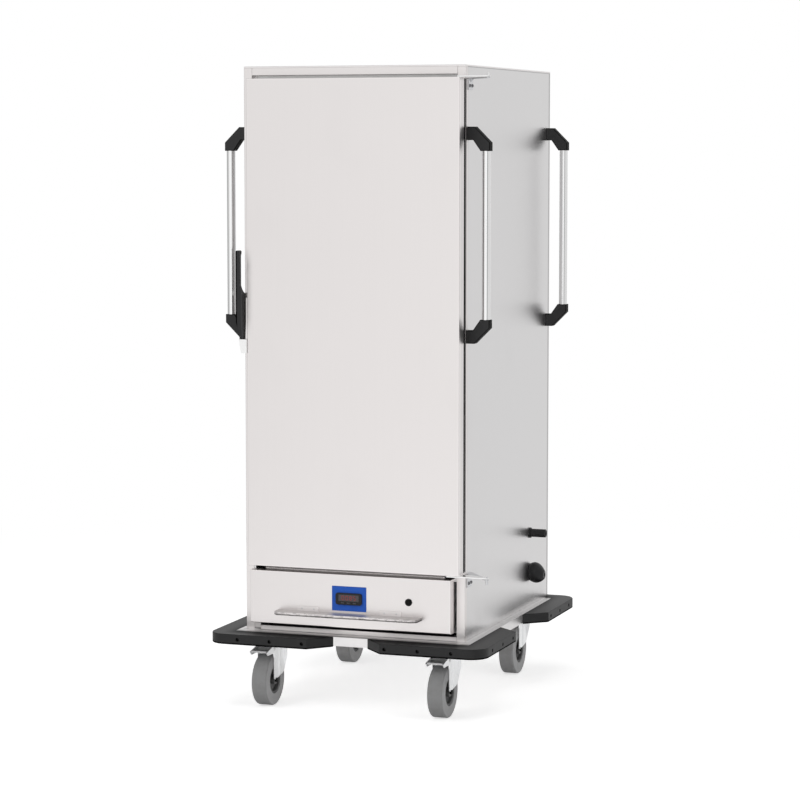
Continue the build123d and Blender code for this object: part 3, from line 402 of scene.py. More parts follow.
def tread_rubber(name, tone, wheel):
    """Grey non-marking tyre: turned rings on its sides, a scrubbed, dusty tread."""
    finish = Finish(name, {"Specular IOR Level": 0.25})
    low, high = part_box(wheel)
    away_y = finish.y - (low.y + high.y) / 2
    away_z = finish.z - (low.z + high.z) / 2
    radius = (away_y * away_y + away_z * away_z) ** 0.5
    rings = finish.node("ShaderNodeMath", {"operation": "SINE"}, {0: radius * 5200.0}) * 0.5 + 0.5
    grit = finish.noise(700.0, 4.0, 0.7)
    dust = finish.rise(finish.noise(55.0, 5.0, 0.65), 0.42, 0.72)
    outside = (high.z - low.z) / 2
    tread = finish.rise(radius, outside - 0.004, outside - 0.001)
    colour = finish.shade(tone, (0.90 + 0.14 * grit + 0.04 * rings) * (1.36 - 0.36 * tread))
    colour = finish.mix(dust * (0.12 + 0.25 * tread), colour, (0.30, 0.295, 0.285))
    finish.feed("Base Color", colour)
    finish.feed("Roughness", 0.62 + 0.14 * dust + 0.08 * tread)
    finish.bump(0.7 * grit + 0.3 * rings, 0.00012, 0.5)
    return finish.material


def painted_film(name, tone):
    """Satin coloured film on sheet with a fine orange-peel surface and a thin rubbed margin."""
    finish = Finish(name, {"Specular IOR Level": 0.14})
    peel = finish.noise(900.0, 2.0, 0.4)
    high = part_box("control_plate")[1]
    middle = middle_of("control_plate")
    edge_x = abs(finish.x - middle.x) > (high.x - middle.x - 0.0012)
    edge_z = abs(finish.z - middle.z) > (high.z - middle.z - 0.0012)
    margin = edge_x.math("MAXIMUM", edge_x, edge_z)
    cloud = finish.noise(60.0, 3.0)
    colour = finish.shade(tone, 0.92 + 0.16 * cloud)
    finish.feed("Base Color", finish.mix(margin * 0.55, colour, tuple(0.6 * part for part in tone)))
    finish.feed("Roughness", 0.34 + 0.08 * peel)
    finish.bump(peel, 0.00003, 0.4)
    return finish.material


def smoked_window(name, tone):
    """Smoked display window: glossy, darker to its rim, wiped in streaks."""
    finish = Finish(name, {"Specular IOR Level": 0.35, "Coat Weight": 0.2, "Coat Roughness": 0.06})
    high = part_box("display_window")[1]
    rim = finish.rise(abs(finish.x - CABINET), high.x - CABINET - 0.004, high.x - CABINET)
    streak = finish.noise((900.0, 900.0, 60.0), 3.0)
    colour = finish.shade(tone, 0.92 + 0.16 * streak)
    finish.feed("Base Color", finish.mix(rim * 0.5, colour, (0.05, 0.05, 0.06)))
    finish.feed("Roughness", 0.10 + 0.06 * streak)
    finish.bump(streak, 0.00001, 0.3)
    return finish.material


def heated_tube(name, tone):
    """Heater sheath with blue and straw temper colours along it."""
    finish = Finish(name, {"Metallic": 1.0})
    band = finish.noise((9.0, 6.0, 9.0), 3.0, 0.6)
    straw, blue, grey = (0.34, 0.25, 0.15), (0.20, 0.17, 0.26), (0.24, 0.24, 0.24)
    stops = [(0.30, tone), (0.48, straw), (0.60, blue), (0.74, grey)]
    finish.feed("Base Color", finish.node("ShaderNodeValToRGB", {"stops": stops}, {0: band}))
    finish.feed("Roughness", 0.36 + 0.2 * finish.noise(160.0, 3.0))
    finish.bump(finish.noise(500.0, 2.0), 0.00004, 0.4)
    return finish.material


def lit_segment(name, tone, glow):
    """Display bar behind the window, brighter in the middle of each stroke."""
    finish = Finish(name, {"Emission Strength": glow, "Specular IOR Level": 0.2})
    grain = finish.noise(2600.0, 2.0)
    finish.feed("Base Color", finish.shade(tone, 0.85 + 0.3 * grain))
    finish.feed("Emission Color", finish.shade(tone, 0.8 + 0.4 * grain))
    finish.feed("Roughness", 0.4 + 0.1 * grain)
    return finish.material


FRONT_STEEL = (0.834, 0.801, 0.793)
WALL_STEEL = (0.782, 0.772, 0.773)
door_steel = satin_steel("door_steel_upright", FRONT_STEEL, "z", soil_and_shade=latch_shade_and_rim_highlight)
# Painted shade: the drawer front is a darker copy of the door's steel, set against the bright floor it
# reflects.
drawer_steel_shaded = satin_steel("drawer_steel_upright", (0.806, 0.774, 0.766), "z", soil_and_shade=drawer_rim_highlight)
liner_steel = satin_steel("liner_steel_upright", (0.806, 0.774, 0.766), "z")
post_steel = satin_steel("post_steel_upright", FRONT_STEEL, "z", 0.32, 0.12, post_shade)
wall_steel = satin_steel("wall_steel_upright", WALL_STEEL, "z", 0.32, 0.12, sheet_edges_and_gap_shadow)
rail_steel = satin_steel("rail_steel_level", FRONT_STEEL, "x", 0.32, 0.12, door_shadow_line)
base_steel = satin_steel("base_steel_level", (0.82, 0.805, 0.802), "x", 0.32, 0.12, seam_shade, 0.12)
guide_steel = satin_steel("guide_steel_level", FRONT_STEEL, "x", 0.34, 0.12, guide_foot_shade)
ledge_steel = satin_steel("ledge_steel_level", FRONT_STEEL, "x", 0.36, soil_and_shade=ledge_shade_and_highlights, blur=1.1)
roof_steel = satin_steel("roof_steel_lengthwise", (0.90, 0.87, 0.865), "y", 0.33)
inner_steel = satin_steel("chamber_steel", (0.66, 0.655, 0.65), "x", 0.36)
runner_steel = satin_steel("runner_steel", (0.68, 0.675, 0.67), "y", 0.34)
fitting_steel = satin_steel("fitting_steel", (0.96, 0.958, 0.955), "x", 0.30)
bracket_steel = satin_steel("bracket_steel", (0.70, 0.705, 0.72), "z", 0.34)
galvanised = bright_zinc("drawer_galvanised", (0.60, 0.61, 0.62))
zinc = bright_zinc("caster_zinc", (0.955, 0.96, 0.965))
pedal_zinc = bright_zinc("pedal_zinc", (0.90, 0.905, 0.91), 0.46, 0.0)
handle_steel = tube_steel("handle_tube_steel", (0.93, 0.93, 0.93))
handle_black = moulded("handle_end_black", (0.024, 0.024, 0.025), 0.46)
# Dead black copy of the moulding: painted shade on the handle ends' sides and the lever's left faces, and the
# black of the forks' axle bolt heads.
shade_and_bolt_black = moulded("moulding_edge_black", (0.004, 0.004, 0.004), 0.6, gloss=0.08)
bumper_black = moulded("bumper_black", (0.014, 0.014, 0.0145), 0.50, 900.0, 0.00006, 0.35, dead=bumper_shade)
lever_black = moulded("lever_black", (0.020, 0.020, 0.021), 0.46, dead=lever_edge_shade, pale=lever_facet_highlight)
# Painted light: a paler copy of the lever's black for its right-hand flank.
lever_flank_lit = moulded("lever_flank_black", (0.050, 0.050, 0.051), 0.5)
fitting_black = moulded("fitting_black", (0.011, 0.011, 0.012), 0.44)
switch_black = moulded("switch_black", (0.005, 0.005, 0.005), 0.4, 2200.0, 0.00003, gloss=0.12)
bezel_black = moulded("bezel_black", (0.020, 0.020, 0.022), 0.42, 2200.0, 0.00003, gloss=0.25)
keeper_nylon = moulded("keeper_nylon", (0.86, 0.86, 0.85), 0.45, 900.0, 0.00004)
key_grey = moulded("key_grey", (0.08, 0.08, 0.09), 0.5, 2600.0, 0.00002)
rim_black = moulded("rim_grey", (0.125, 0.125, 0.126), 0.52)
motor_enamel = moulded("motor_enamel", (0.02, 0.02, 0.021), 0.4, 500.0, 0.0001)
seal_rubber = soft_rubber("seal_rubber", (0.005, 0.005, 0.005))
# Painted light: the rear tyres are a paler copy of the front tyres' grey.
tyre_front = tread_rubber("tyre_grey_front", (0.37, 0.37, 0.373), "caster_tyre_front_left")
tyre_rear = tread_rubber("tyre_grey_rear", (0.43, 0.43, 0.433), "caster_tyre_rear_left")
blue_film = painted_film("control_blue", (0.034, 0.140, 0.65))
window_smoke = smoked_window("window_smoke", (0.085, 0.070, 0.079))
heater_sheath = heated_tube("heater_sheath", (0.32, 0.31, 0.30))
fan_aluminium = satin_steel("fan_aluminium", (0.74, 0.75, 0.76), "y", 0.38)
digit_red = lit_segment("digit_red", (0.30, 0.03, 0.035), 0.32)
digit_dark = lit_segment("digit_unlit", (0.075, 0.06, 0.068), 0.0)
screw_steel = satin_steel("screw_steel", (0.72, 0.72, 0.72), "x", 0.28)
screw_dull = satin_steel("screw_dull", (0.22, 0.22, 0.23), "x", 0.4)
screw_black = moulded("screw_black_oxide", (0.010, 0.010, 0.011), 0.38)

node_finish = {
    "door_shell": door_steel, "door_inner": liner_steel, "drawer_front": drawer_steel_shaded,
    "side_panel_left": wall_steel, "side_panel_right": wall_steel, "back_panel": wall_steel,
    "front_post_left": post_steel, "front_post_right": post_steel,
    "roof_panel": roof_steel, "top_rail": rail_steel, "middle_rail": rail_steel, "kick_rail": rail_steel,
    "base_pan": base_steel, "pull_ledge": ledge_steel, "drawer_guides": guide_steel,
    "ceiling_panel": inner_steel, "floor_panel": inner_steel,
    "tray_runners_left": runner_steel, "tray_runners_right": runner_steel,
    "hinge_bracket_upper": bracket_steel, "hinge_bracket_lower": bracket_steel,
    "hinge_arm_upper": fitting_steel, "hinge_arm_lower": fitting_steel,
    "latch_bracket": fitting_steel, "latch_keeper": keeper_nylon,
    "drawer_chassis": galvanised, "heating_element": heater_sheath, "fan_motor": motor_enamel,
    "fan_wheel": fan_aluminium, "handle_tubes": handle_steel, "handle_ends": handle_black,
    "corner_bumpers": bumper_black, "latch_lever": lever_black, "cable_peg": fitting_black,
    "inlet_gland": fitting_black, "switch_body": switch_black, "switch_rocker": switch_black,
    "controller": bezel_black, "display_window": window_smoke, "control_plate": blue_film,
    "door_gasket": seal_rubber, "caster_heads": zinc,
}
for number in (1, 2, 3):
    node_finish[f"controller_key_{number}"] = key_grey
for corner in CASTERS:
    node_finish[f"caster_fork_{corner}"] = zinc
    node_finish[f"caster_rim_{corner}"] = rim_black
    node_finish[f"caster_tyre_{corner}"] = tyre_front if corner.startswith("front") else tyre_rear
    if corner.startswith("front"):
        node_finish[f"brake_pedal_{corner}"] = pedal_zinc
for node, finish in node_finish.items():
    solids[node].data.materials.clear()
    solids[node].data.materials.append(finish)


# Softened edges


def add_piece(name, mesh, body):
    piece = bpy.data.objects.new(name, mesh)
    scene.collection.objects.link(piece)
    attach(piece, body)
    return piece


def softened(node, radius, segments=2, sharp=32.0):
    """A copy of a solid with its sharp edges broken, which stands for it. Some faces get a second finish."""
    mesh = solids[node].data.copy()
    mesh.name = f"{node}_softened"
    work = bmesh.new()
    work.from_mesh(mesh)
    bmesh.ops.remove_doubles(work, verts=work.verts, dist=1e-6)
    bmesh.ops.dissolve_limit(work, angle_limit=math.radians(0.5), verts=work.verts, edges=work.edges)
    for face in work.faces:
        face.smooth = True
    work.to_mesh(mesh)
    work.free()
    if "custom_normal" in mesh.attributes:
        mesh.attributes.remove(mesh.attributes["custom_normal"])
    mesh.set_sharp_from_angle(angle=math.radians(sharp))
    shaper = bpy.data.objects.new("shaper", mesh)
    scene.collection.objects.link(shaper)
    edge = shaper.modifiers.new("edge", "BEVEL")
    edge.width = radius
    edge.segments = segments
    edge.limit_method = "ANGLE"
    edge.angle_limit = math.radians(sharp)
    edge.use_clamp_overlap = True
    edge.harden_normals = False
    even = shaper.modifiers.new("even", "WEIGHTED_NORMAL")
    even.keep_sharp = False
    done = bpy.data.meshes.new_from_object(shaper.evaluated_get(bpy.context.evaluated_depsgraph_get()))
    bpy.data.objects.remove(shaper)
    done.name = f"{node}_edge"
    done.materials.clear()
    done.materials.append(node_finish[node])
    for finish, chosen in second_finish.get(node, ()):
        done.materials.append(finish)
        for face in done.polygons:
            if chosen(face):
                face.material_index = len(done.materials) - 1
    piece = add_piece(f"{node}_edge", done, body_of[node])
    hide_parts(node)
    return piece


def bolt_head(node):
    """Picks a fork's faces close round the axle: the axle bolt's heads."""
    wheel = middle_of(node.replace("fork", "tyre"))
    reach = 0.0062
    return lambda face: (Vector(face.center).yz - wheel.yz).length < reach


# Second finishes by face: painted shade in dead black on the handle ends' sides and the lever's left faces, a
# painted-light paler black on the lever's right flank, and the black axle bolt heads on the forks.
second_finish = {
    "handle_ends": [(shade_and_bolt_black, lambda face: abs(face.normal.y) < 0.96)],
    "latch_lever": [(shade_and_bolt_black, lambda face: face.normal.x < -0.5),
                    (lever_flank_lit, lambda face: face.normal.x > 0.3)],
    **{f"caster_fork_{corner}": [(shade_and_bolt_black, bolt_head(f"caster_fork_{corner}"))] for corner in CASTERS},
}
for node, radius in {
    "handle_ends": 0.0024, "latch_lever": 0.0016, "latch_bracket": 0.0005, "latch_keeper": 0.0006,
    "hinge_arm_upper": 0.0005, "hinge_arm_lower": 0.0005, "hinge_bracket_upper": 0.0005,
    "hinge_bracket_lower": 0.0005, "side_panel_right": 0.0006, "side_panel_left": 0.0006,
    "front_post_right": 0.0010, "front_post_left": 0.0010, "back_panel": 0.0006, "top_rail": 0.0008,
    "middle_rail": 0.0006, "kick_rail": 0.0008, "base_pan": 0.0010, "drawer_guides": 0.0005,
    "door_inner": 0.0008, "pull_ledge": 0.0006, "caster_heads": 0.0005,
    **{f"caster_fork_{corner}": 0.0005 for corner in CASTERS},
    **{f"brake_pedal_{corner}": 0.0004 for corner in CASTERS[:2]},
}.items():
    softened(node, radius)


def hinge_leaf():
    """Leaf of the lower hinge arm, screwed along under the door's lower edge."""
    low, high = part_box("hinge_arm_lower")
    length, setback, cut = 0.030, 0.0006, 0.005
    left, right, front, back = low.x - length, low.x, low.y + setback, high.y
    outline = [(right, front), (right, back), (left + 2 * cut, back), (left, back - 2 * cut),
               (left, front + cut), (left + cut, front)]
    leaf = bmesh.new()
    face = leaf.faces.new([leaf.verts.new((x, y, low.z)) for x, y in outline])
    raised = bmesh.ops.extrude_face_region(leaf, geom=[face])["geom"]
    for vertex in raised:
        if isinstance(vertex, bmesh.types.BMVert):
            vertex.co.z = high.z
    bmesh.ops.recalc_face_normals(leaf, faces=leaf.faces)
    bmesh.ops.bevel(leaf, geom=leaf.edges[:], offset=0.0004, segments=2, affect="EDGES", clamp_overlap=True)
    mesh = bpy.data.meshes.new("hinge_leaf_lower")
    leaf.to_mesh(mesh)
    leaf.free()
    mesh.materials.append(fitting_steel)
    add_piece("hinge_leaf_lower", mesh, "door")


hinge_leaf()


# Fasteners and other repeated pieces


class Pattern(Sheet):
    """A Geometry Nodes tree with named inputs, whose result becomes a plain mesh."""

    def __init__(self, name, inputs):
        super().__init__(bpy.data.node_groups.new(name, "GeometryNodeTree"))
        face = self.tree.interface
        face.new_socket("Geometry", in_out="INPUT", socket_type="NodeSocketGeometry")
        self.keys = {label: face.new_socket(label, in_out="INPUT", socket_type=f"NodeSocket{kind}").identifier
                     for label, kind in inputs.items()}
        face.new_socket("Geometry", in_out="OUTPUT", socket_type="NodeSocketGeometry")
        self.entry = self.tree.nodes.new("NodeGroupInput")
        self.exit = self.tree.nodes.new("NodeGroupOutput")

    def given(self, label):
        return Wire(self, self.entry.outputs[label])

    def finish(self, instances):
        """Turns the instances into real faces with the given finish."""
        faces = self.node("GeometryNodeRealizeInstances", None, {0: instances})
        done = self.node("GeometryNodeSetMaterial", None,
                         {"Geometry": faces, "Material": self.given("Finish")})
        self.plug(self.exit.inputs[0], done)

    def make(self, name, body, points, values):
        """One mesh for one body, from points of a place and a facing."""
        mesh = bpy.data.meshes.new(f"{name}_points")
        mesh.from_pydata([place for place, facing in points], [], [])
        facing = mesh.attributes.new("facing", "FLOAT_VECTOR", "POINT")
        for item, (place, direction) in zip(facing.data, points):
            item.vector = direction
        holder = bpy.data.objects.new("holder", mesh)
        scene.collection.objects.link(holder)
        modifier = holder.modifiers.new("pattern", "NODES")
        modifier.node_group = self.tree
        for label, value in values.items():
            modifier[self.keys[label]] = value
        done = bpy.data.meshes.new_from_object(holder.evaluated_get(bpy.context.evaluated_depsgraph_get()))
        bpy.data.objects.remove(holder)
        done.name = name
        return add_piece(name, done, body)


def fastener_pattern():
    """Screw, bolt or rivet heads: a drum, a chamfered cap and a drive recess, each turned its own way."""
    tree = Pattern("fastener_heads", {
        "Sides": "Int", "Radius": "Float", "Height": "Float", "Cap Radius": "Float", "Recess Radius": "Float",
        "Recess Depth": "Float", "Finish": "Material"})
    height = tree.given("Height")
    drum_height = height * 0.55
    cap_height = height * 0.45
    drum = tree.node("GeometryNodeMeshCone", None, {
        "Vertices": tree.given("Sides"), "Radius Top": tree.given("Radius"),
        "Radius Bottom": tree.given("Radius"), "Depth": drum_height})
    cap = tree.node("GeometryNodeMeshCone", None, {
        "Vertices": tree.given("Sides"), "Radius Top": tree.given("Cap Radius"),
        "Radius Bottom": tree.given("Radius"), "Depth": cap_height})
    lift = tree.node("ShaderNodeCombineXYZ", None, {2: drum_height})
    cap = tree.node("GeometryNodeTransform", None, {"Geometry": cap, "Translation": lift})
    drive = tree.node("GeometryNodeMeshCone", None, {
        "Vertices": 6, "Radius Top": tree.given("Recess Radius"),
        "Radius Bottom": tree.given("Recess Radius"), "Depth": height})
    sink = tree.node("ShaderNodeCombineXYZ", None, {2: height - tree.given("Recess Depth")})
    drive = tree.node("GeometryNodeTransform", None, {"Geometry": drive, "Translation": sink})
    cap = tree.node("GeometryNodeMeshBoolean", {"operation": "DIFFERENCE"}, {0: cap, 1: drive})
    head = tree.node("GeometryNodeJoinGeometry", None, {0: drum})
    tree.tree.links.new(cap.socket, head.socket.node.inputs[0])
    facing = tree.node("GeometryNodeInputNamedAttribute", {"data_type": "FLOAT_VECTOR"}, {"Name": "facing"})
    turn = tree.node("FunctionNodeAlignRotationToVector", {"axis": "Z"}, {"Vector": facing})
    spin = tree.node("FunctionNodeRandomValue", {"data_type": "FLOAT"}, {2: 0.0, 3: 6.28, "Seed": 7}, 1)
    about = tree.node("FunctionNodeAxisAngleToRotation", None, {"Axis": (0.0, 0.0, 1.0), "Angle": spin})
    turn = tree.node("FunctionNodeRotateRotation", {"rotation_space": "LOCAL"}, {0: turn, 1: about})
    heads = tree.node("GeometryNodeInstanceOnPoints", None,
                      {"Points": tree.given("Geometry"), "Instance": head, "Rotation": turn})
    tree.finish(heads)
    return tree


fasteners = fastener_pattern()


def screws(name, body, points, radius, height, finish, sides=24, cap=0.72, recess=0.42):
    """Heads at the given points; cap and recess are shares of the radius."""
    fasteners.make(name, body, points, {
        "Sides": sides, "Radius": radius, "Height": height, "Cap Radius": radius * cap,
        "Recess Radius": radius * recess, "Recess Depth": height * 0.4, "Finish": finish})


RIGHT, FRONT, BACK, DOWN, UP = (1, 0, 0), (0, -1, 0), (0, 1, 0), (0, 0, -1), (0, 0, 1)

low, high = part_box("corner_bumpers")
middle = (low.z + high.z) / 2
hole_pitch, hole_depth, first_across, first_along = 0.0875, 0.010, 0.084, 0.078
bumper_points = []
for side_x in (-1, 1):
    for side_y in (-1, 1):
        for step in range(3):
            across = side_x * (high.x - first_across - hole_pitch * step)
            along = side_y * (high.y - first_along - hole_pitch * step)
            bumper_points.append(((across, side_y * (high.y - hole_depth), middle), (0, side_y, 0)))
            bumper_points.append(((side_x * (high.x - hole_depth), along, middle), (side_x, 0, 0)))
screws("bumper_screws", "cabinet", bumper_points, 0.0042, 0.0030, screw_black)

leg_thick, screw_rise = 0.003, 0.0105
leg_points = []
for node in ("hinge_bracket_upper", "hinge_bracket_lower"):
    low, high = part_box(node)
    leg_points += [((low.x + leg_thick, high.y - in_y, low.z + screw_rise), RIGHT) for in_y in (0.027, 0.007)]
screws("hinge_leg_screws", "cabinet", leg_points, 0.0042, 0.0026, screw_dull)

arm_thick, rivet_inset = 0.003, 0.0036
arm_points = []
for node, facing in (("hinge_arm_upper", UP), ("hinge_arm_lower", DOWN)):
    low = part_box(node)[0]
    z = low.z + arm_thick if facing is UP else low.z
    arm_points += [((low.x + rivet_inset, low.y + in_y, z), facing) for in_y in (0.007, 0.0175, 0.028)]
screws("hinge_arm_rivets", "door", arm_points, 0.0026, 0.0012, screw_steel, 20, 0.55, 0.2)

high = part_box("caster_heads")[1]
plate_thick = 0.004
plate_points = []
for side_x in (-1, 1):
    for side_y in (-1, 1):
        plate_points += [((side_x * (high.x - in_x), side_y * (high.y - in_y), high.z - plate_thick), DOWN)
                         for in_x in (0.010, 0.074) for in_y in (0.010, 0.094)]
screws("caster_plate_bolts", "cabinet", plate_points, 0.0065, 0.0040, screw_steel, 6, 0.86, 0.05)

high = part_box("pull_ledge")[1]
flange_thick, rivet_drop = 0.002, 0.006
ledge_points = [((CABINET + x, high.y - flange_thick, high.z - rivet_drop), FRONT)
                for x in (-0.127, -0.095, 0.095, 0.127)]
screws("ledge_rivets", "heater_drawer", ledge_points, 0.0024, 0.0009, screw_steel, 20, 0.55, 0.2)

low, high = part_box("back_panel")
first_row, row_pitch = 0.033, 0.1515
rows = [low.z + first_row + row_pitch * step for step in range(10)]
back_points = [((CABINET + x, high.y, z), BACK) for x in (-0.281, 0.281) for z in rows]
back_points += [((CABINET + x, high.y, z), BACK) for x in (-0.14, 0.0, 0.14) for z in (rows[0], rows[-1])]
screws("back_panel_rivets", "cabinet", back_points, 0.0035, 0.0014, screw_steel, 20, 0.5, 0.2)

low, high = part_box("tray_runners_right")
rivet_rise, runner_pitch, runner_thick = 0.006, 0.075, 0.002
reach = high.x - CABINET - runner_thick
runner_points = []
for level in range(15):
    z = low.z + rivet_rise + runner_pitch * level
    for y in (-0.23, 0.04, 0.31):
        runner_points += [((CABINET + side * reach, y, z), (-side, 0, 0)) for side in (-1, 1)]
screws("runner_rivets", "cabinet", runner_points, 0.0026, 0.0011, screw_steel, 16, 0.5, 0.2)

for corner in ("front_left", "front_right"):
    low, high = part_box(f"brake_pedal_{corner}")
    joints = frame["record"]["behaviour"]["joints"]
    pivot = next(joint["pos_m"] for joint in joints if joint["name"] == f"brake_{corner}")
    pin_points = [((x, pivot[1], pivot[2]), (side, 0, 0)) for x, side in ((low.x, -1), (high.x, 1))]
    screws(f"pedal_rivets_{corner}", f"brake_pedal_{corner}", pin_points, 0.0046, 0.0014, screw_steel,
           20, 0.6, 0.2)


# Display digits


def segment_pattern():
    """Seven-segment bars: a six-sided stroke along its facing."""
    tree = Pattern("display_bars", {"Length": "Float", "Width": "Float", "Finish": "Material"})
    stroke = tree.node("GeometryNodeMeshCylinder", None, {"Vertices": 6, "Radius": 0.5, "Depth": 0.00012})
    size = tree.node("ShaderNodeCombineXYZ", None, {0: tree.given("Length"), 1: tree.given("Width"), 2: 1.0})
    stroke = tree.node("GeometryNodeTransform", None, {"Geometry": stroke, "Scale": size})
    upright = (math.pi / 2, 0.0, 0.0)
    lay = tree.node("GeometryNodeTransform", None, {"Geometry": stroke, "Rotation": upright})
    facing = tree.node("GeometryNodeInputNamedAttribute", {"data_type": "FLOAT_VECTOR"}, {"Name": "facing"})
    turn = tree.node("FunctionNodeAlignRotationToVector", {"axis": "X", "pivot_axis": "Y"},
                     {"Vector": facing})
    bars = tree.node("GeometryNodeInstanceOnPoints", None,
                     {"Points": tree.given("Geometry"), "Instance": lay, "Rotation": turn})
    tree.finish(bars)
    return tree


def display_digits(text):
    """Lit and unlit bars of a row of digits behind the window."""
    low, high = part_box("display_window")
    strokes = {"a": (0, 1, 0), "b": (0.5, 0.5, 1), "c": (0.5, -0.5, 1), "d": (0, -1, 0), "e": (-0.5, -0.5, 1),
               "f": (-0.5, 0.5, 1), "g": (0, 0, 0)}
    lit_of = {"0": "abcdef", "1": "bc", "2": "abged", "3": "abgcd", "4": "fgbc", "5": "afgcd", "6": "afgedc",
              "7": "abc", "8": "abcdefg", "9": "abcdfg"}
    wide, tall, pitch = 0.0056, 0.0050, 0.0105
    middle_z = (low.z + high.z) / 2
    first = CABINET - (len(text) - 1) / 2 * pitch
    lit, unlit = [], []
    for index, digit in enumerate(text):
        for stroke, (across, up, upright) in strokes.items():
            place = (first + index * pitch + across * wide, low.y - 0.0001, middle_z + up * tall)
            chosen = lit if stroke in lit_of[digit] else unlit
            chosen.append((place, UP if upright else RIGHT))
    bars = segment_pattern()
    bar = {"Length": 0.0046, "Width": 0.0015}
    bars.make("display_lit_bars", "heater_drawer", lit, {**bar, "Finish": digit_red})
    bars.make("display_unlit_bars", "heater_drawer", unlit, {**bar, "Finish": digit_dark})


display_digits("0085")


# Stage, light and camera


# Glow of the floor near the object, for the camera and for gloss, and the studio's tone by direction
NEAR_GLOW = 0.60
NEAR_GLOSS = 0.47
STUDIO_TONES = [(-180, 0.88), (-162, 0.95), (-140, 0.72), (-115, 0.45), (-80, 0.45), (-60, 0.60),
                (-43, 0.70), (-21, 1.0), (28, 1.0), (40, 0.38), (48, 0.36), (60, 0.72), (105, 0.74),
                (135, 0.70), (152, 0.84), (168, 0.84), (180, 0.88)]


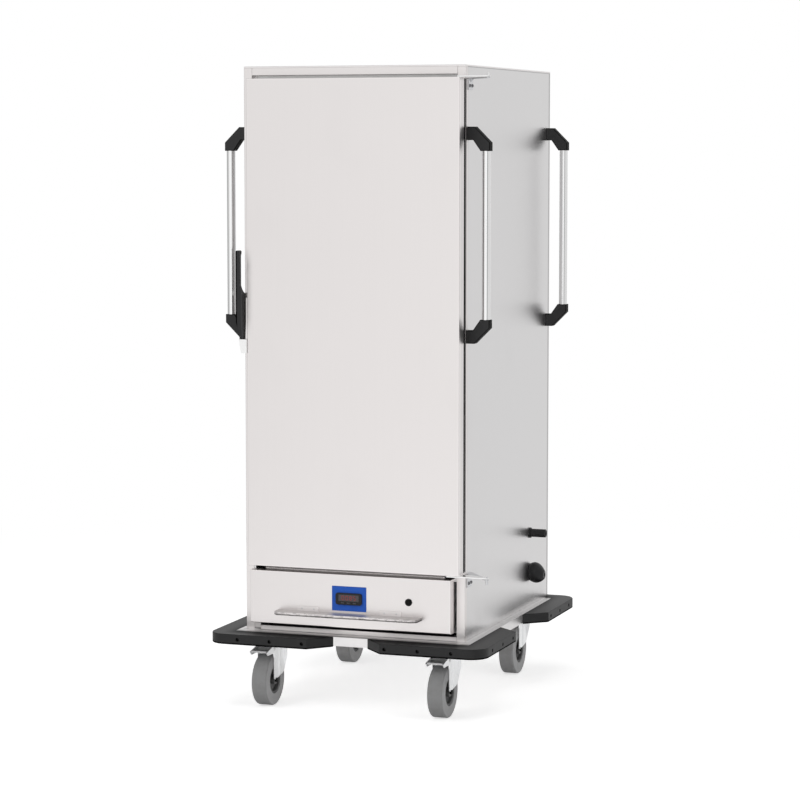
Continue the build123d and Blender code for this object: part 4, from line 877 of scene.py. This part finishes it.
def studio():
    """Pale floor, white surroundings for camera and gloss, soft lamps at a plain level."""
    ground = bpy.data.meshes.new("floor")
    ground.from_pydata([(-40, -40, 0), (40, -40, 0), (40, 40, 0), (-40, 40, 0)], [], [(0, 1, 2, 3)])
    floor = bpy.data.objects.new("floor", ground)
    scene.collection.objects.link(floor)
    pale = bpy.data.materials.new("floor_pale")
    pale.use_nodes = True
    pale.node_tree.nodes.clear()
    sheet = Sheet(pale.node_tree)
    place = sheet.node("ShaderNodeTexCoord", out="Object")
    away = sheet.node("ShaderNodeVectorMath", {"operation": "LENGTH"}, {0: place}, "Value")
    far = sheet.node("ShaderNodeMapRange", {"interpolation_type": "SMOOTHSTEP"},
                     {"Value": away, "From Min": 0.9, "From Max": 3.2})
    seen, gloss = seen_white(sheet, place)
    shown = seen.math("MAXIMUM", seen, gloss)
    matt = sheet.node("ShaderNodeBsdfDiffuse", None, {"Color": (0.86, 0.86, 0.86)})
    glow = seen.math("MAXIMUM", seen * NEAR_GLOW, gloss * NEAR_GLOSS)
    near_glow = sheet.node("ShaderNodeEmission", None, {"Color": (1.0, 1.0, 1.0), "Strength": glow})
    near = sheet.node("ShaderNodeAddShader", None, {0: matt, 1: near_glow})
    far_glow = sheet.node("ShaderNodeEmission", None, {"Color": (1.0, 1.0, 1.0), "Strength": shown})
    clear = sheet.node("ShaderNodeMath", {"operation": "GREATER_THAN"}, {0: shown, 1: 0.0})
    both = sheet.node("ShaderNodeMixShader", None, {0: far * clear, 1: near, 2: far_glow})
    sheet.plug(sheet.tree.nodes.new("ShaderNodeOutputMaterial").inputs["Surface"], both)
    ground.materials.append(pale)

    world = bpy.data.worlds.new("studio")
    scene.world = world
    world.use_nodes = True
    world.node_tree.nodes.clear()
    sheet = Sheet(world.node_tree)
    seen, gloss = seen_white(sheet, sheet.node("ShaderNodeTexCoord", out="Generated"))
    shown = seen.math("MAXIMUM", seen, gloss)
    clear = sheet.node("ShaderNodeMath", {"operation": "GREATER_THAN"}, {0: shown, 1: 0.0})
    around = sheet.node("ShaderNodeBackground", None, {"Color": (1.0, 1.0, 1.0), "Strength": 0.36})
    white = sheet.node("ShaderNodeBackground", None, {"Color": (1.0, 1.0, 1.0), "Strength": shown})
    both = sheet.node("ShaderNodeMixShader", None, {0: clear, 1: around, 2: white})
    sheet.plug(sheet.tree.nodes.new("ShaderNodeOutputWorld").inputs["Surface"], both)

    for name, place, size, power in (
        ("key_lamp", (-3.4, -4.6, 4.2), 3.2, 100.0),
        ("fill_lamp", (4.6, -2.2, 3.0), 3.0, 45.0),
        ("top_lamp", (0.0, 0.4, 4.8), 3.6, 40.0),
    ):
        lamp = bpy.data.lights.new(name, "AREA")
        lamp.shape = "SQUARE"
        lamp.size = size
        lamp.energy = power
        holder = bpy.data.objects.new(name, lamp)
        holder.location = place
        holder.rotation_euler = (Vector((0.0, 0.0, 0.75)) - Vector(place)).to_track_quat("-Z", "Y").to_euler()
        holder.visible_glossy = False
        scene.collection.objects.link(holder)


def seen_white(sheet, heading):
    """1 for rays from the camera and through glass, and the studio's tone on that side for rays off gloss."""
    rays = sheet.tree.nodes.new("ShaderNodeLightPath")
    camera, gloss, glass = [Wire(sheet, rays.outputs[f"Is {kind} Ray"]) for kind in
                            ("Camera", "Glossy", "Transmission")]
    x, y = [sheet.node("ShaderNodeSeparateXYZ", None, {0: heading}, axis) for axis in "XY"]
    turn = x.math("ARCTAN2", x, 0.0 - y) / (2 * math.pi) + 0.5
    stops = [(degrees / 360 + 0.5, (tone, tone, tone)) for degrees, tone in STUDIO_TONES]
    tone = sheet.node("ShaderNodeValToRGB", {"stops": stops}, {0: turn})
    return camera.math("MAXIMUM", camera, glass), gloss * tone


PICTURE_WIDTH = 800.0
FOCAL_PIXELS = 2680.35


def photograph_camera():
    """Long lens, a little to the right of the front and a little above the middle."""
    view = bpy.data.cameras.new("camera")
    view.sensor_fit = "HORIZONTAL"
    view.sensor_width = 36.0
    view.lens = FOCAL_PIXELS * view.sensor_width / PICTURE_WIDTH
    view.clip_end = 200.0
    holder = bpy.data.objects.new("camera", view)
    scene.collection.objects.link(holder)
    azimuth, elevation, distance = math.radians(19.345), math.radians(5.322), 7.10061
    target = Vector((CABINET - 0.0068, 0.038, 0.7751))
    out = Vector((math.cos(elevation) * math.sin(azimuth), -math.cos(elevation) * math.cos(azimuth),
                  math.sin(elevation)))
    holder.location = target + distance * out
    holder.rotation_euler = (-out).to_track_quat("-Z", "Y").to_euler()
    scene.camera = holder


studio()
photograph_camera()
scene.view_settings.view_transform = "Standard"
